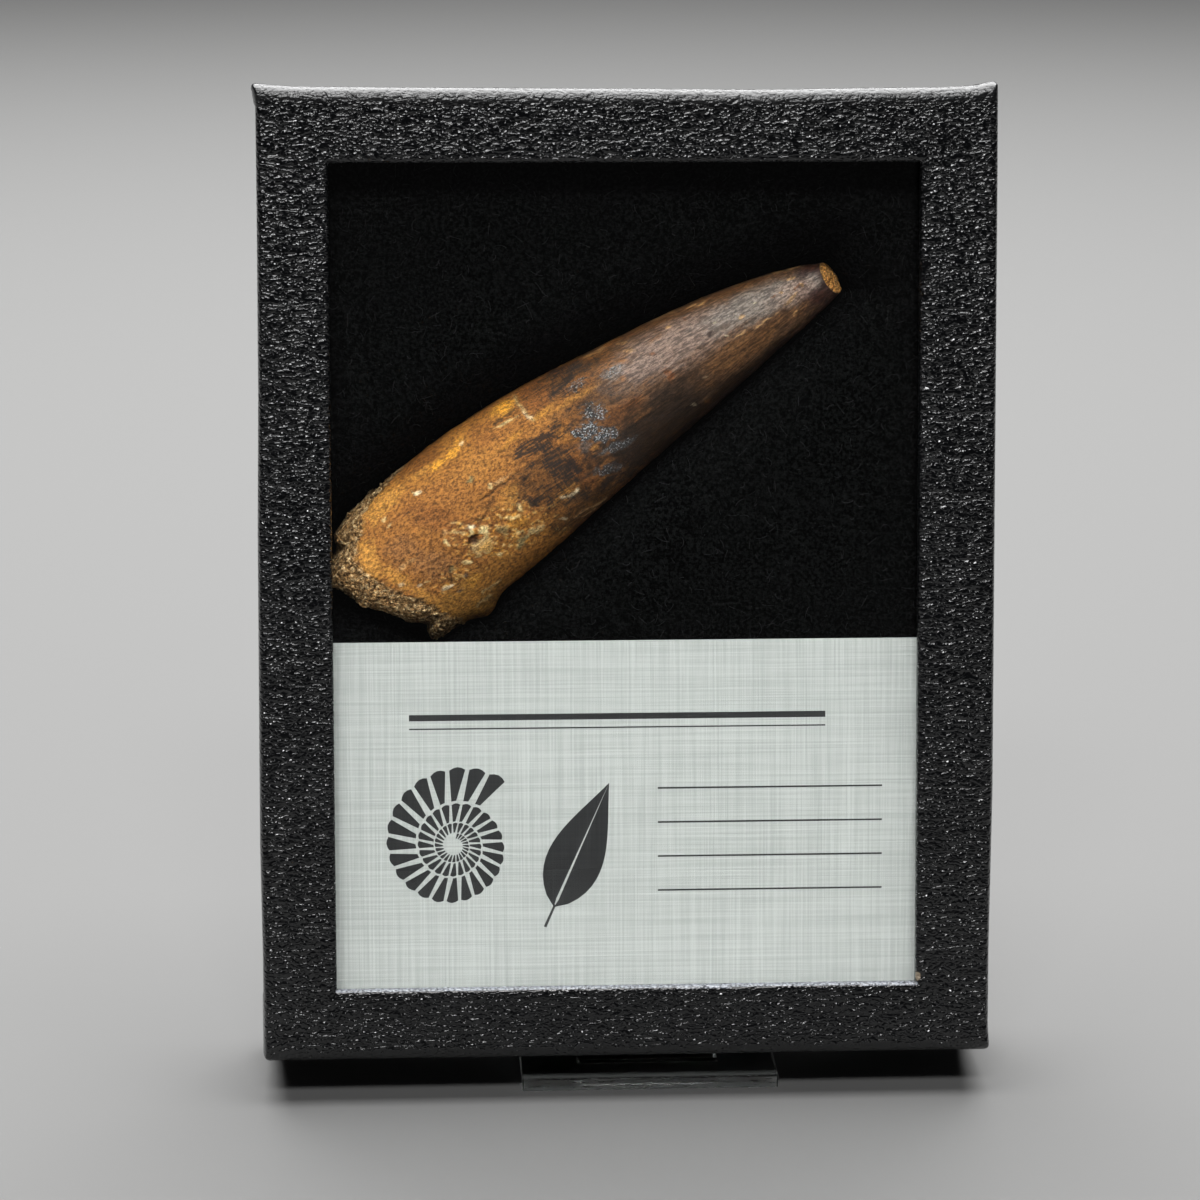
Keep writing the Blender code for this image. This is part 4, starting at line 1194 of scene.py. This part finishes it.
def pad_surface(u, v):
    """The pad's front, with the hollow that the tooth lies in."""
    flat = np.stack((u, v, 0 * u), axis=1)
    from_edge = np.minimum(PAD_HALF - np.abs(u), np.minimum(v - PAD_LOW, PAD_HIGH - v))
    surface = PAD_FRONT - PAD_EDGE * (1 - ease(from_edge / PAD_EDGE_REACH)) ** 2
    surface -= 0.35 * ease(0.5 + 0.5 * noise(flat * 0.07)) + 0.05 * other_noise(flat * 0.9)
    du = u - TOOTH_BASE[0]
    dv = v - TOOTH_BASE[1]
    along = du * math.cos(TOOTH_TILT) + dv * math.sin(TOOTH_TILT)
    across = dv * math.cos(TOOTH_TILT) - du * math.sin(TOOTH_TILT)
    middle, width, depth = tooth_section(np.clip(along, 0, TOOTH_LENGTH))
    swell = LUMP_HEIGHT * np.exp(-(((along - LUMP_AT) / LUMP_REACH) ** 2))
    width = width + HOLLOW_ASIDE + np.where(across < middle, swell, 0)
    start = curve(FACE_ACROSS, FACE_AT, across) - HOLLOW_BASE
    beyond = np.maximum(np.maximum(start - along, along - TOOTH_LENGTH - 0.1), 0)
    beside = np.maximum(np.abs(across - middle) - width, 0)
    outside = np.hypot(beyond, beside)
    inside = np.clip(np.abs(across - middle) / width, 0, 1)
    bed = TOOTH_BASE[2] - (depth + HOLLOW_BELOW) * np.sqrt(1 - inside**2)
    rise = HOLLOW_WALL * (1 - np.exp(-outside / HOLLOW_SPREAD)) + outside * HOLLOW_SLOPE
    hollow = np.where(outside > 0, TOOTH_BASE[2] + 0.2 + rise, bed)
    # the felt rolls over the hollow's lip
    gap = surface - hollow
    return surface - np.where(gap > 4, gap, 0.5 * (gap + np.sqrt(gap * gap + LIP_SOFT)))


def make_padding():
    """The felt pad: a fine front, and sides that bulge a little behind the rim."""
    columns = np.linspace(-PAD_HALF, PAD_HALF, PAD_COLUMNS)
    sparse = np.linspace(PAD_LOW, PAD_DENSE_FROM, PAD_ROWS[0], endpoint=False)
    rows = np.concatenate((sparse, np.linspace(PAD_DENSE_FROM, PAD_HIGH, PAD_ROWS[1])))
    u, v = np.meshgrid(columns, rows)
    u, v = u.ravel(), v.ravel()
    flat = np.stack((u, v, 0 * u), axis=1)
    w = pad_surface(u, v) + 0.05 * noise.fractal(flat * 2.2, 2)
    points = np.stack((u, v, w), axis=1)
    n, m = len(rows), len(columns)
    index = np.arange(n * m).reshape(n, m)
    quads = (index[:-1, :-1], index[:-1, 1:], index[1:, 1:], index[1:, :-1])
    faces = np.stack(quads, axis=-1).reshape(-1, 4).tolist()
    # the sides go down from the rim, anticlockwise from the lower left, and close at the back
    rim = np.concatenate((index[0, :-1], index[:-1, -1], index[-1, :0:-1], index[:0:-1, 0]))
    centre = np.array([0, (PAD_LOW + PAD_HIGH) / 2])
    half = np.array([PAD_HALF, (PAD_HIGH - PAD_LOW) / 2])
    off = points[rim, :2] - centre
    outward = np.sign(off) * (np.abs(off) > half - 0.1)
    previous = rim
    for inward, low in PAD_SIDES:
        ring = np.column_stack((points[rim, :2] - outward * inward, np.full(len(rim), low)))
        current = np.arange(len(points), len(points) + len(rim))
        points = np.concatenate((points, ring))
        after = np.roll(previous, -1)
        faces += np.stack((after, previous, current, np.roll(current, -1)), axis=-1).tolist()
        previous = current
    points = np.concatenate((points, [[0, centre[1], PAD_BACK]]))
    for one, following in zip(previous, np.roll(previous, -1)):
        faces.append([len(points) - 1, following, one])
    made = piece("pad_felt", points, faces, [felt()])
    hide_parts("padding")
    return made


FIBRES = 900
FIBRE_ACROSS = (-33.5, 33.5)
FIBRE_UP = (CARD_TOP, 101)
FIBRE_BEND = 0.55
FIBRE_LENGTH = (0.4, 1.5)
FIBRE_RADIUS = (0.012, 0.024)
# A fibre's ends are this far above the felt's plain surface, and its middle is lifted further
FIBRE_CLEAR = 0.04
FIBRE_LIFT = (0.04, 0.22)
FIBRE_STEPS = 5


def make_fibres():
    """Loose fibres that lie on the felt, each a bent three-sided thread."""
    source = np.random.default_rng(SEED + 5)
    points, faces = [], []
    k = np.linspace(0, 1, FIBRE_STEPS + 1)
    for _ in range(FIBRES):
        u0 = source.uniform(*FIBRE_ACROSS)
        v0 = source.uniform(*FIBRE_UP)
        heading = source.uniform(0, 2 * math.pi)
        bend = source.normal(0, FIBRE_BEND)
        length = source.uniform(*FIBRE_LENGTH)
        radius = source.uniform(*FIBRE_RADIUS)
        lift = source.uniform(*FIBRE_LIFT)
        turn = heading + bend * k * 2
        u = u0 + np.cumsum(np.cos(turn)) * length / FIBRE_STEPS
        v = v0 + np.cumsum(np.sin(turn)) * length / FIBRE_STEPS
        w = pad_surface(u, v) + FIBRE_CLEAR + lift * np.sin(np.pi * k)
        start = len(points)
        side = np.stack((-np.sin(turn), np.cos(turn), 0 * turn), axis=1)
        for spot, across in zip(np.stack((u, v, w), axis=1), side):
            points.append(spot + across * radius)
            points.append(spot - across * radius)
            points.append(spot + np.array([0, 0, radius * 1.4]))
        for step in range(FIBRE_STEPS):
            for a, b in ((0, 1), (1, 2), (2, 0)):
                low = start + step * 3
                faces.append([low + a, low + b, low + 3 + b, low + 3 + a])
        faces.append([start, start + 2, start + 1])
        faces.append([len(points) - 3, len(points) - 2, len(points) - 1])
    return piece("felt_fibres", np.array(points), faces, [fibre()])


def bar(u0, v0, u1, v1):
    """An upright rectangle's corners."""
    return np.array(((u0, v0), (u1, v0), (u1, v1), (u0, v1)), float)


def turned(along, across, u, v, heading):
    """Points along and across a heading, from u, v."""
    c, n = math.cos(heading), math.sin(heading)
    return np.stack((u + along * c - across * n, v + along * n + across * c), axis=1)


# The leaf's stalk: from and to a share of the leaf's length, and half its width at each
STALK = np.array([-0.16, 0.02])
STALK_HALF = np.array([0.16, 0.13])
MIDRIB_HALF = 0.16


def leaf(u, v, heading, length, width):
    """A plain leaf in two halves, with its midrib left white, and its stalk."""
    k = np.linspace(0, 1, 17)
    edge = width * np.sin(np.pi * k**0.75) * (1 - 0.3 * k)
    gap = np.minimum(MIDRIB_HALF * (1 - k), edge)
    loops = []
    for side in (1, -1):
        rim = turned(k * length, side * edge, u, v, heading)
        middle = turned(k * length, side * gap, u, v, heading)
        loops.append(np.concatenate((rim[1:-1], middle[::-1])))
    one = turned(STALK * length, STALK_HALF, u, v, heading)
    two = turned(STALK * length, -STALK_HALF, u, v, heading)
    loops.append(np.concatenate((one, two[::-1])))
    return loops


COIL_TURNS = 3.1
COIL_START = 0.9
COIL_RIB = math.radians(15)
COIL_SHRINK = 0.098
RIB_SHARE = 0.80
RIB_INNER = 0.585
RIB_BULGE = 0.035
RIB_LAG = 0.10


def coil(u, v, radius):
    """A coiled shell drawn as a row of ribs that shrink towards its middle."""
    loops = []
    k = np.linspace(0, 1, 5)
    for rib in range(int(COIL_TURNS * 2 * math.pi / COIL_RIB)):
        turn = rib * COIL_RIB + COIL_RIB * RIB_SHARE * k
        outer = radius * np.exp(-COIL_SHRINK * turn)
        inner = outer * RIB_INNER
        outer = outer * (1 + RIB_BULGE * np.sin(np.pi * k))
        angle = COIL_START + turn
        lag = RIB_LAG * (1 - k)
        rim = np.stack((u + outer * np.cos(angle), v + outer * np.sin(angle)), axis=1)
        hub = np.stack((u + inner * np.cos(angle + lag), v + inner * np.sin(angle + lag)), axis=1)
        loops.append(np.concatenate((rim, hub[::-1])))
    return loops


# The print, in mm on the card: rules as left, low, right and high, and text rules that repeat
HEADING_RULES = ((-24.5, 38.2, 22.5, 38.9), (-24.5, 37.2, 22.5, 37.36))
TEXT_RULE = (3.5, 30.2, 29.0, 30.4)
TEXT_RULES = 4
TEXT_RULE_PITCH = 3.9
SHELL_AT = (-19.5, 24.0)
SHELL_RADIUS = 9.2
LEAF_AT = (-8.3, 16.8)
LEAF_HEADING = math.radians(66)
LEAF_SIZE = (15.5, 3.6)


def label_print():
    """A blank label's rules, a coiled shell and a leaf."""
    loops = [bar(*rule) for rule in HEADING_RULES]
    for k in range(TEXT_RULES):
        loops.append(bar(*TEXT_RULE) - (0, TEXT_RULE_PITCH * k))
    return loops + coil(*SHELL_AT, SHELL_RADIUS) + leaf(*LEAF_AT, LEAF_HEADING, *LEAF_SIZE)


def inside_loop(points, outline):
    """Even-odd test for many points at once."""
    x, y = points.T
    result = np.zeros(len(points), bool)
    for (x0, y0), (x1, y1) in zip(outline, np.roll(outline, -1, axis=0)):
        crosses = (y0 > y) != (y1 > y)
        if y0 != y1:
            result ^= crosses & (x < (x1 - x0) * (y - y0) / (y1 - y0) + x0)
    return result


def make_card():
    """The card's front is one flat sheet in which the print's outlines are edges."""
    half = BOX_WIDTH / 2 - CARD_INSET
    outline = bar(-half, CARD_INSET, half, CARD_TOP)
    loops = label_print()
    verts, edges = [], []
    for one in [outline] + loops:
        start = len(verts)
        verts += [Vector(p) for p in one]
        edges += [(start + k, start + (k + 1) % len(one)) for k in range(len(one))]
    flat, _, triangles, *_ = delaunay_2d_cdt(verts, edges, [], 0, 1e-5)
    flat = np.array([tuple(p) for p in flat])
    middles = np.array([flat[list(face)].mean(axis=0) for face in triangles])
    printed = np.zeros(len(middles), bool)
    for one in loops:
        printed |= inside_loop(middles, one)
    front = np.column_stack((flat, np.full(len(flat), CARD_FRONT)))
    faces = [list(face) for face in triangles]
    slots = printed.astype(int).tolist()
    rim = np.column_stack((outline, np.full(4, CARD_FRONT)))
    back = np.column_stack((outline, np.full(4, CARD_BACK)))
    points = np.concatenate((front, rim, back))
    first = len(front)
    for k in range(4):
        j = (k + 1) % 4
        faces.append([first + k, first + 4 + k, first + 4 + j, first + j])
    faces.append([first + 7, first + 6, first + 5, first + 4])
    slots += [0] * 5
    materials = [card(), ink()]
    made = piece("printed_card", points, faces, materials, face_slots=slots, smooth=False)
    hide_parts("label_card")
    return made


def dress_packed_nodes():
    """The glass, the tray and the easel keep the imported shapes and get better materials."""
    for name, material in (("glass", glass()), ("tray", tray_paper()), ("stand", acrylic())):
        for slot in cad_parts[name].material_slots:
            slot.material = material


# The camera, fitted to the photograph's corners: its lens, and its distance and angles round a
# point on the window
LENS_PIXELS = 3594.0
PHOTO_PIXELS = 1200
SENSOR_WIDTH = 36.0
CAMERA_DISTANCE = 400.0
CAMERA_TARGET_V = 54.5
AZIMUTH = math.radians(-3.82)
ELEVATION = math.radians(15.83)
YAW = math.radians(-0.45)
PITCH = math.radians(-0.35)
ROLL = math.radians(0.54)


def make_camera():
    """The camera that took the photograph, turned about its own axes last."""
    back = np.array(
        [
            math.sin(AZIMUTH) * math.cos(ELEVATION),
            -math.cos(AZIMUTH) * math.cos(ELEVATION),
            math.sin(ELEVATION),
        ]
    )
    right = np.cross(-back, (0, 0, 1))
    right /= np.linalg.norm(right)
    up = np.cross(right, -back)
    rolled_right = right * math.cos(ROLL) + up * math.sin(ROLL)
    rolled_up = -right * math.sin(ROLL) + up * math.cos(ROLL)
    c, s = math.cos(YAW), math.sin(YAW)
    yaw = np.array([[c, 0, -s], [0, 1, 0], [s, 0, c]])
    c, s = math.cos(PITCH), math.sin(PITCH)
    pitch = np.array([[1, 0, 0], [0, c, -s], [0, s, c]])
    axes = pitch @ yaw @ np.array([rolled_right, rolled_up, -back])
    target = to_row([[0, CAMERA_TARGET_V, 0]])[0]
    place = target + back * CAMERA_DISTANCE * MM
    columns = np.column_stack((axes[0], axes[1], -axes[2], place))
    data = bpy.data.cameras.new("camera")
    data.sensor_fit = "HORIZONTAL"
    data.sensor_width = SENSOR_WIDTH
    data.lens = LENS_PIXELS / PHOTO_PIXELS * SENSOR_WIDTH
    data.clip_start = 0.01
    camera = bpy.data.objects.new("camera", data)
    bpy.context.scene.collection.objects.link(camera)
    camera.matrix_world = Matrix((*columns.tolist(), (0, 0, 0, 1)))
    bpy.context.scene.camera = camera


# What the lamps look at, in metres in the row frame
LIGHTS_AIM = (0, -0.01, 0.06)


def area_light(name, azimuth, elevation, distance, size, power):
    """A soft box that looks at the window's middle; azimuth 0 is in front, positive to the right."""
    a = math.radians(azimuth)
    e = math.radians(elevation)
    aim = Vector(LIGHTS_AIM)
    way = Vector((math.sin(a) * math.cos(e), -math.cos(a) * math.cos(e), math.sin(e)))
    data = bpy.data.lights.new(name, "AREA")
    data.shape = "RECTANGLE"
    data.size, data.size_y = size
    data.energy = power
    lamp = bpy.data.objects.new(name, data)
    bpy.context.scene.collection.objects.link(lamp)
    lamp.location = aim + way * distance
    lamp.rotation_euler = (-way).to_track_quat("-Z", "Y").to_euler()


FLOOR_HALF = 3.0
WORLD_LIGHT = 0.02


def make_stage():
    """The floor, the lamps and a faint light from all round."""
    mesh = bpy.data.meshes.new("floor")
    corners = [(x, y, 0) for x, y in bar(-FLOOR_HALF, -FLOOR_HALF, FLOOR_HALF, FLOOR_HALF)]
    mesh.from_pydata(corners, [], [(0, 1, 2, 3)])
    mesh.materials.append(floor())
    ground = bpy.data.objects.new("floor", mesh)
    bpy.context.scene.collection.objects.link(ground)
    area_light("key", azimuth=-6, elevation=50, distance=1.2, size=(0.5, 0.17), power=6.7)
    area_light("overhead", azimuth=180, elevation=67, distance=0.8, size=(1.0, 1.2), power=30)
    world = bpy.data.worlds.new("studio")
    world.use_nodes = True
    background = world.node_tree.nodes["Background"].inputs
    background["Color"].default_value = (1, 1, 1, 1)
    background["Strength"].default_value = WORLD_LIGHT
    scene = bpy.context.scene
    scene.world = world
    scene.view_settings.view_transform = "Standard"


make_lid()
make_tooth()
make_padding()
make_fibres()
make_card()
dress_packed_nodes()
make_stage()
make_camera()
